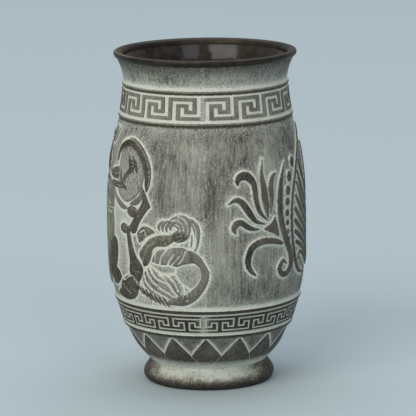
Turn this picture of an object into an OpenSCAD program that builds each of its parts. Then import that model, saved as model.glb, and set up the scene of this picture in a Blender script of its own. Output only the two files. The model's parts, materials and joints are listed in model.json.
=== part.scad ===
// Slip-cast stoneware vase with a barrel body, a flared lip and sprigged relief.
// The foot stands on the XY plane, the axis is +Z and the front is the -Y side.
// Relief is laid out by turn (degrees, 0 at the front, positive towards +X) and by height.

/* [Vessel] */
// Height from the table to the top of the lip
total_h = 280; // [270:1:290]
// Outer radius of the lip
lip_r = 76.2; // [75.5:0.1:77]
// Outer radius of the foot ring
foot_r = 55.2; // [54.6:0.1:56]
// Thickness of the clay wall
wall_t = 5.6; // [5:0.1:6.5]
// Thickness of the glaze on the inside
glaze_t = 0.4; // [0.2:0.1:0.6]

/* [Bands] */
// Height of the upper and lower cords on the neck
neck_cords = [253, 227]; // [225:1:255]
// Height of the upper and lower ribs under the belly
belly_ribs = [72, 50]; // [48:1:76]
// Units of the key pattern round the neck
neck_keys = 16; // [8:2:16]
// Units of the key pattern round the base
base_keys = 17; // [15:1:19]

/* [Relief] */
// How far the key patterns stand out
key_h = 0.9; // [0.5:0.1:1.5]
// How far the leaves of the palmette stand out
leaf_h = 1.7; // [1:0.1:2.2]
// How far the figures stand out
figure_h = 2; // [1:0.1:2.5]

/* [Hidden] */

clay = [0.49, 0.5, 0.47];
dark_clay = [0.24, 0.22, 0.19];
wash = [0.75, 0.78, 0.74];
glaze = [0.11, 0.1, 0.09];

foot_h = 18;
plug_r = 43;
recess_h = 3;
floor_h = 11;
floor_flat = 31;
shoulder_low = 189;
belly_mid = 150;
belly_low = 111;
bowl_top = 32;
lip_h = 5.5;
curve_steps = 3;

// Outer wall as [radius, height], from the foot to the underside of the lip.
wall_knots = [
    [49.2, foot_h], [54, 24], [60.2, 32], [65.8, 42], [70.8, 52], [73.9, 62], [78.1, 76], [80.8, 90],
    [82.1, 110], [82.3, 145], [81, 175], [77.8, 200], [72.8, 222], [69.6, 240], [68.4, 256], [70.3, 266],
    [73.9, total_h - lip_h]
];
// Inside of the bottom as [radius, height], from the axis outward.
floor_knots = [[0, floor_h], [floor_flat, floor_h], [36, 13], [40, 17.5], [44.5, 22]];

// A smooth curve through the knots: n points for each span between two knots.
function knot(k, i) = k[max(0, min(len(k) - 1, i))];
function blend(a, b, c, d, t) =
    b + 0.5 * t * (c - a + t * (2 * a - 5 * b + 4 * c - d + t * (3 * (b - c) + d - a)));
function smooth(k, n = curve_steps) = [
    for (i = [0:len(k) - 2], s = [0:n - 1]) blend(knot(k, i - 1), k[i], k[i + 1], knot(k, i + 2), s / n),
    k[len(k) - 1]
];

outer = smooth(wall_knots);
heights = [for (p = outer) [p.y, p.x]];
function wall_r(z) = lookup(z, heights);
inner_wall = [for (p = outer) if (p.y > 26) [p.x - wall_t, p.y]];
inner = concat(floor_knots, inner_wall);
lining = [for (p = inner) p.y < 22 ? [max(0, p.x - glaze_t / 2), p.y + glaze_t] : [p.x - glaze_t, p.y]];

// ---- relief on the wall ----
function on_wall(turn, z, out) =
    let (r = wall_r(z) + out) [r * sin(turn), -r * cos(turn), z];
function mm_per_degree(z) = wall_r(z) * PI / 180;
function mirrored(path, axis) = [for (p = path) [2 * axis - p[0], p[1], p[2]]];
function reversed(list) = [for (i = [len(list) - 1:-1:0]) list[i]];

// Sideways direction of a line at point i, in [degrees, mm], with mitred corners.
function along(a, b) =
    let (d = [(b[0] - a[0]) * mm_per_degree((a[1] + b[1]) / 2), b[1] - a[1]]) d / norm(d);
function side_of(path, i, loop) =
    let (
        n = len(path),
        here = path[i],
        before = i > 0 ? along(path[i - 1], here) : loop ? along(path[n - 1] - [360, 0, 0], here) : undef,
        after = i < n - 1 ? along(here, path[i + 1]) : loop ? along(here, path[0] + [360, 0, 0]) : undef,
        d1 = is_undef(before) ? after : before,
        d2 = is_undef(after) ? before : after,
        across = [-(d1.y + d2.y), d1.x + d2.x],
        mitre = across * 2 / (across * across)
    ) [mitre.x / mm_per_degree(here[1]), mitre.y];

// Triangles joining section i to section j, each with k points.
function skin(i, j, k) = [
    for (s = [0:k - 1]) let (t = (s + 1) % k)
        each [[i * k + s, j * k + s, j * k + t], [i * k + s, j * k + t, i * k + t]]
];
function cap(first, k, flip) = [
    for (s = [1:k - 2]) flip ? [first, first + s + 1, first + s] : [first, first + s, first + s + 1]
];

// A raised line: path is a list of [turn, height, half width], profile of [across, out].
function stroke(path, h, profile, loop = false) =
    let (
        n = len(path),
        k = len(profile),
        points = [
            for (i = [0:n - 1]) let (side = side_of(path, i, loop))
                for (q = profile) let (w = q[0] * path[i][2])
                    on_wall(path[i][0] + w * side.x, path[i][1] + w * side.y, q[1] * h)
        ],
        sides = [for (i = [0:n - (loop ? 1 : 2)]) each skin(i, (i + 1) % n, k)],
        ends = loop ? [] : concat(cap(0, k, false), cap((n - 1) * k, k, true))
    ) [points, concat(sides, ends)];
flat_line = [[-1, 0], [1, 0], [0.86, 1], [-0.86, 1]];
round_line = [[-1, 0], [1, 0], [0.72, 0.78], [0, 1], [-0.72, 0.78]];

// A raised patch: rows are [height, left turn, right turn], domed from its edges to its middle.
function patch(rows, h, edge = 0.5, columns = 6) =
    let (
        m = len(rows),
        n = columns + 1,
        cell = function (i, j, out) on_wall(
            rows[i][1] + (rows[i][2] - rows[i][1]) * j / columns, rows[i][0], out),
        rise = function (i, j)
            let (u = 2 * j / columns - 1, v = 2 * i / (m - 1) - 1)
                h * (edge + (1 - edge) * (1 - pow(abs(u), 3)) * (1 - pow(abs(v), 3))),
        top = [for (i = [0:m - 1], j = [0:columns]) cell(i, j, rise(i, j))],
        under = [for (i = [0:m - 1], j = [0:columns]) cell(i, j, 0)],
        b = m * n,
        faces = [
            for (i = [0:m - 2], j = [0:columns - 1]) let (p = i * n + j, q = p + n)
                each [
                    [p, q + 1, p + 1], [p, q, q + 1], [b + p, b + p + 1, b + q + 1], [b + p, b + q + 1, b + q]
                ]
        ],
        ring = concat(
            [for (j = [0:columns]) j],
            [for (i = [1:m - 1]) i * n + columns],
            [for (j = [columns - 1:-1:0]) (m - 1) * n + j],
            [for (i = [m - 2:-1:1]) i * n]
        ),
        rim = [
            for (s = [0:len(ring) - 1]) let (p = ring[s], q = ring[(s + 1) % len(ring)])
                each [[p, q, b + q], [p, b + q, b + p]]
        ]
    ) [concat(top, under), concat(faces, rim)];

// Round patch: rows of a circle or an ellipse cut by level lines.
function disc_rows(turn, z, rx, rz, rows = 7) = [
    for (i = [0:rows - 1]) let (a = -86 + 172 * i / (rows - 1), y = z + rz * sin(a))
        [y, turn - rx * cos(a) / mm_per_degree(y), turn + rx * cos(a) / mm_per_degree(y)]
];

// Draws a list of strokes and patches as separate closed shells of one node.
function starts(shells, i = 0, sum = 0) =
    i == len(shells) ? [] : concat([sum], starts(shells, i + 1, sum + len(shells[i][0])));
module shells(list) {
    first = starts(list);
    points = [for (s = list) each s[0]];
    faces = [for (i = [0:len(list) - 1]) for (f = list[i][1]) [for (v = f) v + first[i]]];
    polyhedron(points = points, faces = faces);
}
module leaf(path, h) {
    shells([stroke(smooth(path), h, round_line)]);
}

// ---- vessel ----
// One band of the wall between two heights. The bands meet under the cords and ribs.
module wall_band(low, high) {
    heights = concat([low], [for (p = outer) if (p.y > low + 0.5 && p.y < high - 0.5) p.y], [high]);
    color(clay) rotate_extrude($fn = 96) polygon(concat(
        [for (z = heights) [wall_r(z), z]],
        [for (z = reversed(heights)) [wall_r(z) - wall_t, z]]
    ));
}
module neck_wall() {
    wall_band(neck_cords[0], total_h - lip_h);
}
module neck_key_wall() {
    wall_band(neck_cords[1], neck_cords[0]);
}
module shoulder_wall() {
    wall_band(shoulder_low, neck_cords[1]);
}
module belly_wall_upper() {
    wall_band(belly_mid, shoulder_low);
}
module belly_wall_middle() {
    wall_band(belly_low, belly_mid);
}
module belly_wall_lower() {
    wall_band(belly_ribs[0], belly_low);
}
module base_key_wall() {
    wall_band(belly_ribs[1], belly_ribs[0]);
}
module base_wall_upper() {
    wall_band(bowl_top, belly_ribs[1]);
}
// The lowest band turns in over the foot ring to meet the floor.
module base_wall_lower() {
    outside = concat([for (p = outer) if (p.y < bowl_top - 0.5) p], [[wall_r(bowl_top), bowl_top]]);
    inside = concat(
        [for (p = inner) if (p.x > floor_flat - 0.5 && p.y < bowl_top - 0.5) p],
        [[wall_r(bowl_top) - wall_t, bowl_top]]
    );
    color(clay) rotate_extrude($fn = 96)
        polygon(concat([[plug_r, floor_h], [plug_r, foot_h]], outside, reversed(inside)));
}
module base_floor() {
    color(clay) rotate_extrude($fn = 96)
        polygon([[0, recess_h], [plug_r, recess_h], [plug_r, floor_h], [0, floor_h]]);
}
module foot_ring() {
    roll = [[49, 0], [52.4, 1], [54.5, 3], [foot_r, 5.6], [54.3, 9], [52, 12.5], [50, 15.6]];
    color(wash) rotate_extrude($fn = 96)
        polygon(concat([[plug_r, 0]], roll, [[wall_knots[0].x, foot_h], [plug_r, foot_h]]));
}
module rim_lip() {
    under = total_h - lip_h;
    top_roll = [[75.3, under + 0.8], [lip_r, under + 2.4], [lip_r, under + 4], [75.2, under + 5.2],
        [73.6, total_h], [71.6, total_h - 0.2], [69.8, total_h - 1.4], [68.8, total_h - 3]];
    color(glaze) rotate_extrude($fn = 96)
        polygon(concat([[wall_knots[16].x, under]], top_roll, [[wall_knots[16].x - wall_t, under]]));
}
module glaze_lining() {
    color(glaze) rotate_extrude($fn = 96) polygon(concat(inner, reversed(lining)));
}

// A half-round moulding that lies on the wall.
module moulding(z, width, h) {
    bead = [for (a = [20:20:160]) let (y = z + width / 2 * cos(a)) [wall_r(y) + h * sin(a), y]];
    base = [for (y = [z - width / 2, z, z + width / 2]) [wall_r(y), y]];
    rotate_extrude($fn = 96) polygon(concat(base, bead));
}
module neck_cord_upper() {
    color(dark_clay) moulding(neck_cords[0], 3, 1.2);
}
module neck_cord_lower() {
    color(dark_clay) moulding(neck_cords[1], 3, 1.2);
}
module belly_rib_upper() {
    color(dark_clay) moulding(belly_ribs[0], 3.6, 1.5);
}
module belly_rib_lower() {
    color(dark_clay) moulding(belly_ribs[1], 3.4, 1.5);
}

// ---- key patterns ----
neck_key_row = 5.15;
neck_key_base = 232.2;
neck_key_half = 1.4;
module neck_key_band() {
    column = 360 / neck_keys / 4;
    // One unit of the endless line, as [column, row] with row 0 at the bottom.
    unit = [[0, 0], [0, 3], [1.5, 3], [3, 3], [3, 1], [2, 1], [2, 2], [1, 2], [1, 0], [2, 0], [3, 0]];
    line = [
        for (k = [0:neck_keys - 1], c = unit)
            [(4 * k + c[0]) * column, neck_key_base + c[1] * neck_key_row, neck_key_half]
    ];
    color(dark_clay) shells([stroke(line, key_h, flat_line, loop = true)]);
}

base_key_row = 3.35;
base_key_mid = 61.4;
// Two hooks joined by a bar and hung from the band's edge by a stem; up is 1 or -1.
function anchor(turn, up, bar, hook, stem_w, bar_w, hook_w) =
    let (
        bar_z = base_key_mid + up * base_key_row,
        tip_z = base_key_mid - up * base_key_row * 0.35,
        edge_z = base_key_mid - up * base_key_row * 2.15,
        bar_line = [for (t = [-1:0.5:1]) [turn + t * bar, bar_z, bar_w]],
        hook_line = function (s)
            [[turn + s * hook, tip_z, hook_w], [turn + s * hook, bar_z - up * bar_w, hook_w]],
        stem = [[turn, bar_z - up * bar_w, stem_w], [turn, edge_z, stem_w]]
    ) [
        stroke(bar_line, key_h, flat_line),
        stroke(hook_line(-1), key_h, flat_line),
        stroke(hook_line(1), key_h, flat_line),
        stroke(stem, key_h, flat_line)
    ];
base_key_pitch = 360 / base_keys;
base_key_start = -1.5;
module base_key_hanging() {
    color(dark_clay) shells([
        for (k = [0:base_keys - 1]) each anchor(base_key_start + k * base_key_pitch, -1, 8.8, 7.1, 1.7, 1, 1.5)
    ]);
}
module base_key_standing() {
    color(dark_clay) shells([
        for (k = [0:base_keys - 1]) each anchor(base_key_start + (k + 0.5) * base_key_pitch, 1, 8.8, 7.1, 1.7, 1, 1.5)
    ]);
}

// ---- triangles above the foot ----
tri_top = 48;
tri_base = 20.5;
tri_half = 19.4;
tri_pitch = 24;
tri_meet = 0.5 * tri_pitch / tri_half;
// The two triangles beside the back seam stop just short of it.
seam_cut = tri_pitch / 2 - 0.2;
function tri_z(t) = tri_top + (tri_base - tri_top) * t;
module base_triangles_front() {
    color(clay) shells([
        for (turn = [-168, -120, -72, -24, 24, 72, 120, 168])
            let (cut = abs(turn) > 160 ? seam_cut : tri_half)
                patch([
                    for (t = [1:-0.125:0]) let (w = max(0.4, tri_half * t), c = min(w, cut))
                        [tri_z(t), turn - (turn > 0 ? w : c), turn + (turn > 0 ? c : w)]
                ], 0.9, edge = 0.9)
    ]);
}
module base_triangles_back() {
    color(clay) shells([
        for (turn = [-144, -96, -48, 0, 48, 96, 144])
            patch([
                for (t = [1, 0.87, 0.74, tri_meet, 0.45, 0.3, 0.15, 0])
                    let (w = t > tri_meet ? tri_pitch - tri_half * t : tri_half * t)
                        [tri_z(t), turn - max(0.4, w), turn + max(0.4, w)]
            ], 0.5, edge = 0.9)
    ]);
}

// ---- palmette on the right, the same on both sides of its own axis ----
palmette_axis = 90;
module on_side(path, h, side) {
    leaf(side < 0 ? path : reversed(mirrored(path, palmette_axis)), h);
}
stem_path = [[55, 191.5, 0.7], [51, 180, 2], [49, 167.5, 3.1], [48.5, 153, 3.2], [50, 140.5, 3.1], [53.5, 127.5, 3.4],
    [57.5, 115, 3.3], [58, 105.5, 3.3], [54.5, 99.5, 3], [50, 99.5, 2.6], [47.6, 105, 2.5], [50.5, 110.4, 1.9],
    [54, 107.5, 0.8]];
hook_leaf = [[39, 146.5, 0.6], [33.5, 154.5, 2], [31, 165.5, 2.3], [30.2, 177, 2.6], [27.6, 183, 3.3], [24.6, 185.4, 3.5],
    [21.4, 184.6, 3], [19.8, 181, 2], [20, 178, 0.8]];
tall_leaf = [[37, 197, 0.5], [35.6, 186, 1.9], [36.4, 175, 3], [37, 167, 3.4], [38, 158, 2.7], [39, 149, 0.7]];
inner_leaf = [[46.4, 184.6, 0.7], [43.4, 182, 2.2], [41.8, 174, 2.6], [42, 163, 2], [41, 152, 0.6]];
low_leaf_a = [[14, 163, 0.6], [18, 166, 2], [21.5, 164.4, 2.6], [24.4, 159.4, 2.9], [27.6, 152.6, 2.7], [31, 147, 1.8],
    [37, 144, 0.5]];
low_leaf_b = [[18, 138.5, 0.8], [17, 142.5, 2.3], [18.6, 146.4, 2.8], [21.6, 147, 2.5], [25, 143.6, 2.4], [29, 141, 1.7],
    [33, 140.4, 0.5]];
sickle_path = [[49.4, 125.6, 1.8], [45, 128, 2.5], [39, 129.6, 2.7], [33, 129.2, 2.9], [28, 125.4, 2.9], [25.5, 117, 2.8],
    [25.8, 110, 2.5], [28, 105, 1.8], [30.5, 102, 0.8]];
module palmette_stem_left() {
    color(dark_clay) on_side(stem_path, leaf_h, -1);
}
module palmette_stem_right() {
    color(dark_clay) on_side(stem_path, leaf_h, 1);
}
module palmette_hook_leaf_left() {
    color(dark_clay) on_side(hook_leaf, leaf_h, -1);
}
module palmette_hook_leaf_right() {
    color(dark_clay) on_side(hook_leaf, leaf_h, 1);
}
module palmette_tall_leaf_left() {
    color(dark_clay) on_side(tall_leaf, leaf_h, -1);
}
module palmette_tall_leaf_right() {
    color(dark_clay) on_side(tall_leaf, leaf_h, 1);
}
module palmette_inner_leaf_left() {
    color(dark_clay) on_side(inner_leaf, leaf_h, -1);
}
module palmette_inner_leaf_right() {
    color(dark_clay) on_side(inner_leaf, leaf_h, 1);
}
module palmette_low_leaves(side) {
    on_side(low_leaf_a, leaf_h, side);
    on_side(low_leaf_b, leaf_h, side);
}
module palmette_low_leaves_left() {
    color(dark_clay) palmette_low_leaves(-1);
}
module palmette_low_leaves_right() {
    color(dark_clay) palmette_low_leaves(1);
}
// Three-cornered calyx between the leaves and the stem.
module palmette_wedge(side) {
    rows = [[150, 43.6, 44.6], [147, 41.8, 45], [143, 39.6, 45.4], [139.6, 36.6, 45.9], [137, 39.6, 46.3],
        [134.4, 43.8, 46.8]];
    shells([patch(reversed([
        for (r = rows) side < 0 ? r : [r[0], 2 * palmette_axis - r[2], 2 * palmette_axis - r[1]]
    ]), leaf_h, columns = 4)]);
}
module palmette_wedge_left() {
    color(dark_clay) palmette_wedge(-1);
}
module palmette_wedge_right() {
    color(dark_clay) palmette_wedge(1);
}
module palmette_sickle_left() {
    color(dark_clay) on_side(sickle_path, leaf_h, -1);
}
module palmette_sickle_right() {
    color(dark_clay) on_side(sickle_path, leaf_h, 1);
}
// A row of beads that get smaller towards the bottom.
module palmette_beads(side) {
    beads = [
        [63.5, 190.8, 2.9, 4.9], [58.7, 179.4, 3.2, 4.8], [56.4, 168.3, 3.3, 4.4], [55.4, 159, 3.1, 3.7],
        [54.9, 149.9, 2.8, 3.3], [54.9, 141.8, 2.3, 2.8], [55.3, 134.3, 1.8, 2.5], [56.4, 128, 1.3, 2.1]
    ];
    shells([
        for (b = beads) let (place = side < 0 ? b[0] : 2 * palmette_axis - b[0])
            patch(disc_rows(place, b[1], b[2], b[3]), leaf_h * 0.8, 0.4)
    ]);
}
module palmette_beads_left() {
    color(dark_clay) palmette_beads(-1);
}
module palmette_beads_right() {
    color(dark_clay) palmette_beads(1);
}
heart_side = [[90, 218, 0.9], [82, 210, 1.2], [74.4, 198, 1.5], [69.5, 188, 1.7], [63, 170, 2], [60, 153, 2],
    [59.5, 136, 2], [61, 121, 2.2], [64, 107, 2.6], [68.5, 98.6, 2.4], [75, 95, 1.2]];
module palmette_heart_frame() {
    color(dark_clay) {
        on_side(heart_side, leaf_h * 0.8, -1);
        on_side(heart_side, leaf_h * 0.8, 1);
    }
}
// Petals that rise from the palmette's axis on both sides and turn their round heads to the frame.
petals = [
    [[88, 152, 0.8], [81, 170, 2], [75.6, 183, 2.4], [72.8, 191.5, 0.8]],
    [[88, 141, 0.8], [80.5, 156, 2], [74, 168, 2.5], [69.6, 181.5, 1.2]],
    [[88, 132, 0.8], [80.5, 146, 2.1], [73, 159, 2.6], [67.6, 172.5, 1.4]],
    [[88, 124, 0.8], [80.5, 137, 2.1], [72, 150, 2.7], [65.6, 161.6, 1.8]],
    [[88, 117, 0.8], [80.5, 130, 2.1], [71.6, 140.8, 2.8], [64.2, 151, 2.2]],
    [[88, 111, 0.8], [80.5, 122.6, 2], [71.4, 132.6, 2.7], [63.9, 141.2, 2.3]],
    [[88, 106, 0.8], [80.5, 115.6, 2], [71, 126, 2.5], [63.9, 132, 2.2]],
    [[88, 101.6, 0.8], [80.5, 109.6, 1.8], [71.4, 118.6, 2.3], [65, 123, 2]],
    [[87, 98, 0.8], [80.6, 103.6, 1.5], [74, 111.6, 1.9], [68.4, 112.8, 1.7], [67.6, 107.6, 0.9]]
];
module palmette_heart_fan() {
    middle = [[90, 160, 0.8], [90, 176, 2.4], [90, 190, 3], [90, 202, 0.8]];
    drop = [[90, 99, 1.2], [90, 106, 2.6], [90, 113, 1]];
    color(dark_clay) shells(concat(
        [for (p = petals) stroke(smooth(p, 2), leaf_h * 0.8, round_line)],
        [for (p = petals) stroke(smooth(reversed(mirrored(p, palmette_axis)), 2), leaf_h * 0.8, round_line)],
        [for (p = [middle, drop]) stroke(smooth(p, 2), leaf_h * 0.8, round_line)]
    ));
}

// ---- warrior and crouching figure on the left ----
shield_turn = -50.5;
shield_z = 183.5;
module shield_rim() {
    band = [[-35.5, 172, 0.8], [-35, 180, 2.8], [-35.4, 189, 3.4], [-38.5, 198.5, 3.5], [-44.5, 206, 3.4],
        [-52, 209.6, 3.1], [-59, 207, 2.6], [-63.5, 201, 2], [-64.5, 193, 1.2]];
    color(dark_clay) shells([stroke(smooth(band, 2), figure_h, round_line)]);
}
module shield_face() {
    color(clay) shells([patch(disc_rows(shield_turn, shield_z, 17.5, 22.5, 9), 0.5, 0.9, 8)]);
}
// Winged beast on the shield.
module shield_beast() {
    body = [[-51, 199, 0.8], [-49.5, 195, 2.6], [-48.5, 190, 3], [-51, 186, 2.2], [-54, 180, 1.9],
        [-54.5, 177.5, 0.8]];
    wing = [[-47, 198, 0.8], [-45.5, 193.5, 1.6], [-45, 188, 1.4], [-44.5, 184.5, 0.8]];
    tail = [[-58.5, 186, 0.8], [-58, 180, 1.6], [-55, 175, 1.6], [-52.5, 172, 0.8]];
    color(dark_clay) shells([for (p = [body, wing, tail]) stroke(smooth(p, 2), 1.6, round_line)]);
}
module shield_crescents() {
    right = [[-38.5, 173.5, 0.7], [-38.8, 167.5, 1.2], [-41.5, 162.5, 2], [-48.5, 159.8, 0.8]];
    left = [[-64.5, 168, 0.7], [-60.5, 162.5, 1.4], [-56, 158, 1.7], [-52, 155.8, 0.8]];
    stud = disc_rows(-51, 161.7, 1.2, 1.2, 5);
    color(dark_clay) shells([
        for (p = [left, right]) stroke(smooth(p), figure_h * 0.8, round_line),
        patch(stud, figure_h * 0.6, 0.4, 4)
    ]);
}
module hair_knot() {
    color(dark_clay) shells([patch(disc_rows(-47.2, 153.3, 5, 4.8), figure_h, 0.4)]);
}
module warrior_arm() {
    arm = [[-38, 173, 0.8], [-36.5, 166.5, 2.2], [-35, 160.5, 3.6], [-38.5, 153.5, 4], [-43, 145.5, 4.2],
        [-46, 139, 3.4], [-46, 135.5, 1.4]];
    fist = disc_rows(-54.2, 137.8, 3.8, 4.2);
    color(dark_clay) shells([stroke(smooth(arm, 2), figure_h, round_line), patch(fist, figure_h, 0.4)]);
}
module warrior_leg() {
    shin = [[-50.8, 139, 1.4], [-49.7, 131, 2], [-48, 121.5, 2.9], [-45.3, 113, 4.6], [-43.8, 106, 6],
        [-45, 99.5, 3.6]];
    tendon = [[-46.8, 130.5, 0.6], [-44, 123.5, 1.3], [-42.3, 116, 0.6]];
    knee = [[77, -61, -51], [80.5, -66, -47.5], [85, -64.5, -44.4], [89.5, -61, -42.6], [93, -58.5, -42.2],
        [95.5, -54, -42.5]];
    color(dark_clay) shells([
        for (p = [shin, tendon]) stroke(smooth(p, 2), figure_h, round_line), patch(knee, figure_h)
    ]);
}
module warrior_torso() {
    rows = [[86, -95, -80], [98, -99, -77], [112, -101, -73], [124, -98, -70], [136, -96, -68], [148, -97, -68],
        [158, -102, -70], [168, -106, -73], [176, -104, -78]];
    color(dark_clay) shells([patch(rows, figure_h, 0.4, 8)]);
}
module warrior_helmet() {
    crest = [[-82, 205, 0.8], [-88, 211, 2.2], [-97, 211, 2.6], [-105, 204, 2.4], [-109, 193, 1.8],
        [-110, 183, 0.7]];
    dome = [[181, -98, -86], [185, -102, -82], [190, -103, -80], [196, -102, -81], [201, -98, -85], [204, -94, -90]];
    color(dark_clay) shells([stroke(smooth(crest, 2), figure_h, round_line), patch(dome, figure_h, 0.4)]);
}
module warrior_spear() {
    shaft = [[-128, 205, 0.5], [-124, 190, 1.4], [-118, 165, 1.1], [-112, 135, 1.1], [-107, 108, 1], [-104, 90, 0.8]];
    color(dark_clay) shells([stroke(smooth(shaft, 2), figure_h * 0.6, round_line)]);
}
module ground_rock() {
    color(clay) shells([
        patch([[80, -150, -106], [84, -147, -106], [89, -140, -106], [94, -131, -107], [98, -124, -110]], 1.4, 0.5, 8)
    ]);
}
// Bent limb of the crouching figure, with two stones above it.
module crouching_limb() {
    limb = [[-37.5, 110, 1.4], [-36.5, 116, 4], [-34.5, 123, 5.4], [-29.5, 130, 5], [-23, 132, 4.8], [-17.6, 135.5, 3]];
    stones = [disc_rows(-34.3, 138.6, 5.4, 4.4), disc_rows(-40.5, 131.2, 2.4, 4)];
    color(clay) shells([
        stroke(smooth(limb, 2), figure_h, round_line), for (r = stones) patch(r, figure_h * 0.8, 0.4)
    ]);
}
module cloak_bunch() {
    rows = [[131.5, -15, -11], [135, -17.5, -8.6], [139, -17.8, -7.6], [142.5, -16.2, -5.4], [147, -18.5, -4.8],
        [151, -18.4, -6.6], [154, -15, -11]];
    color(dark_clay) shells([patch(rows, figure_h, 0.5)]);
}
module cloak_curls() {
    color(clay) shells([
        for (i = [0:3]) let (a = -26.3 + 2.3 * i)
            stroke(smooth([[a, 141.4, 0.7], [a - 0.3, 145.5, 1.6], [a + 1, 149, 0.7]], 2), figure_h * 0.8, round_line)
    ]);
}
module cloak_tail() {
    fall = [[-7, 150.5, 1], [-4.2, 145, 2.2], [-3.7, 138.5, 2.2], [-4, 131, 1.7], [-5.2, 125, 0.8]];
    color(clay) shells([stroke(smooth(fall), figure_h, round_line)]);
}
// The cloak's round back edge and the smooth lobe inside it.
module cloak_back() {
    edge = [[-9, 121.5, 2], [-5.2, 118.5, 4.2], [-1.4, 112.5, 4], [0.4, 105, 3.7], [-1, 98, 4], [-4.2, 91, 5],
        [-9, 84.5, 5.4], [-15, 81, 3.6], [-22, 79.5, 1.8]];
    lobe = disc_rows(-9.6, 105, 6.6, 8);
    color(clay) shells([stroke(smooth(edge, 2), figure_h, round_line), patch(lobe, 1.2, 0.4)]);
}
// Rounded folds above the cloak's back, and the long folds that sweep down to the hem.
module cloak_folds() {
    upper = [
        [[-30, 114, 1.4], [-28, 120, 3], [-24, 124, 1.6]],
        [[-24.5, 113.4, 1.4], [-21.5, 120, 2.8], [-16.5, 125.4, 1.6]],
        [[-19.4, 113.6, 1.2], [-16.5, 119, 2.4], [-12.5, 124.6, 1.6]]
    ];
    long = [
        [[-34.6, 108, 0.8], [-31, 99.6, 2], [-26, 95, 2.2], [-20.5, 91, 2.2], [-15.4, 85.6, 1]],
        [[-36.6, 104, 0.8], [-34.4, 97, 1.7], [-29, 91, 2], [-22.4, 86.2, 2], [-17, 82.6, 0.8]],
        [[-27, 104.6, 0.8], [-22, 102, 3], [-18.4, 97, 3.4], [-15.8, 90, 2.4], [-14.6, 86, 0.8]]
    ];
    color(clay) shells([for (p = concat(upper, long)) stroke(smooth(p, 2), figure_h * 0.8, round_line)]);
}
// Twisted hem with a fringe hanging from it.
module cloak_hem() {
    twists = [for (i = [0:5]) let (a = -40.6 + 3.1 * i, z = 89.5 - 2 * i + 0.17 * i * i)
        [[a - 1, z + 1.6, 0.7], [a, z, 1.8], [a + 1.4, z - 2.4, 0.7]]];
    threads = [for (i = [0:7]) [[-44.4 + 1.3 * i, 83.4 - 0.2 * i, 0.4], [-44.2 + 1.3 * i, 77, 0.5]]];
    color(clay) shells(concat(
        [for (p = twists) stroke(smooth(p, 2), figure_h * 0.7, round_line)],
        [for (p = threads) stroke(p, 0.6, round_line)]
    ));
}

neck_wall();
neck_key_wall();
shoulder_wall();
belly_wall_upper();
belly_wall_middle();
belly_wall_lower();
base_key_wall();
base_wall_upper();
base_wall_lower();
base_floor();
foot_ring();
rim_lip();
glaze_lining();
neck_cord_upper();
neck_cord_lower();
neck_key_band();
belly_rib_upper();
belly_rib_lower();
base_key_hanging();
base_key_standing();
base_triangles_front();
base_triangles_back();
palmette_stem_left();
palmette_stem_right();
palmette_hook_leaf_left();
palmette_hook_leaf_right();
palmette_tall_leaf_left();
palmette_tall_leaf_right();
palmette_inner_leaf_left();
palmette_inner_leaf_right();
palmette_low_leaves_left();
palmette_low_leaves_right();
palmette_wedge_left();
palmette_wedge_right();
palmette_sickle_left();
palmette_sickle_right();
palmette_beads_left();
palmette_beads_right();
palmette_heart_frame();
palmette_heart_fan();
shield_rim();
shield_face();
shield_beast();
shield_crescents();
hair_knot();
warrior_arm();
warrior_leg();
warrior_torso();
warrior_helmet();
warrior_spear();
ground_rock();
crouching_limb();
cloak_bunch();
cloak_curls();
cloak_tail();
cloak_back();
cloak_folds();
cloak_hem();
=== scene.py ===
import json
import math

import bpy
import numpy as np
from mathutils import Matrix, Vector, kdtree

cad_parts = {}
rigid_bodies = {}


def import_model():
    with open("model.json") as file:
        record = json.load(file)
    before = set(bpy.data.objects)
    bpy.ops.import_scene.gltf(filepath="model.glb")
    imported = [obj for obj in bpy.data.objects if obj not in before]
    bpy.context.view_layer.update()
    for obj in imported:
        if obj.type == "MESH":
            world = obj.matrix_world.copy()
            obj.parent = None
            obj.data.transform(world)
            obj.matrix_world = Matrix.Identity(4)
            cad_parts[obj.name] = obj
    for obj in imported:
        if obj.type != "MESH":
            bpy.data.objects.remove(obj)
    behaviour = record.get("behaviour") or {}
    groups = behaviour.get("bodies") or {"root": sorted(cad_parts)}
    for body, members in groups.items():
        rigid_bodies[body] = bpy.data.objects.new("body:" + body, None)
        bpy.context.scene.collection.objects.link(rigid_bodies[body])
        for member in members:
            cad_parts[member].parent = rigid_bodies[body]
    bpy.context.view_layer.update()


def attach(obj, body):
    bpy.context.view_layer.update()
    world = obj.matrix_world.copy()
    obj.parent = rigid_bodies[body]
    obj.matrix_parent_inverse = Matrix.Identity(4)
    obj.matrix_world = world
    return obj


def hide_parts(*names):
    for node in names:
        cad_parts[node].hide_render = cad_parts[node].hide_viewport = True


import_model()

mm = 0.001
scene = bpy.context.scene
scene.view_settings.view_transform = "Standard"

vase = {
    "wallKnots": [  # outside of the wall as (radius, height), mm
        (49.2, 18), (54, 24), (60.2, 32), (65.8, 42), (70.8, 52), (73.9, 62), (78.1, 76), (80.8, 90),
        (82.1, 110), (82.27, 145), (81, 175), (77.8, 200), (72.8, 222), (69.6, 240), (68.4, 256), (70.3, 266),
        (73.9, 274.5),
    ],
    "wallThick": 5.6,
    "wallFoot": 18,  # the wall runs between these heights
    "wallTop": 274.5,
    "cords": (253, 227),  # heights of the two neck cords
    "ribs": (72, 50),  # heights of the two ribs under the belly
}


def smoothCurve(knots, steps):
    # Catmull-Rom through the knots, as the wall and every sprig is drawn
    k = np.array(knots, float)
    ends = np.vstack([k[:1], k, k[-1:]])
    out = []
    for i in range(len(k) - 1):
        a, b, c, d = ends[i:i + 4]
        for s in range(steps):
            t = s / steps
            out.append(b + 0.5 * t * (c - a + t * (2 * a - 5 * b + 4 * c - d + t * (3 * (b - c) + d - a))))
    out.append(k[-1])
    return np.array(out)


wallLine = smoothCurve(vase["wallKnots"], 12)


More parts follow.
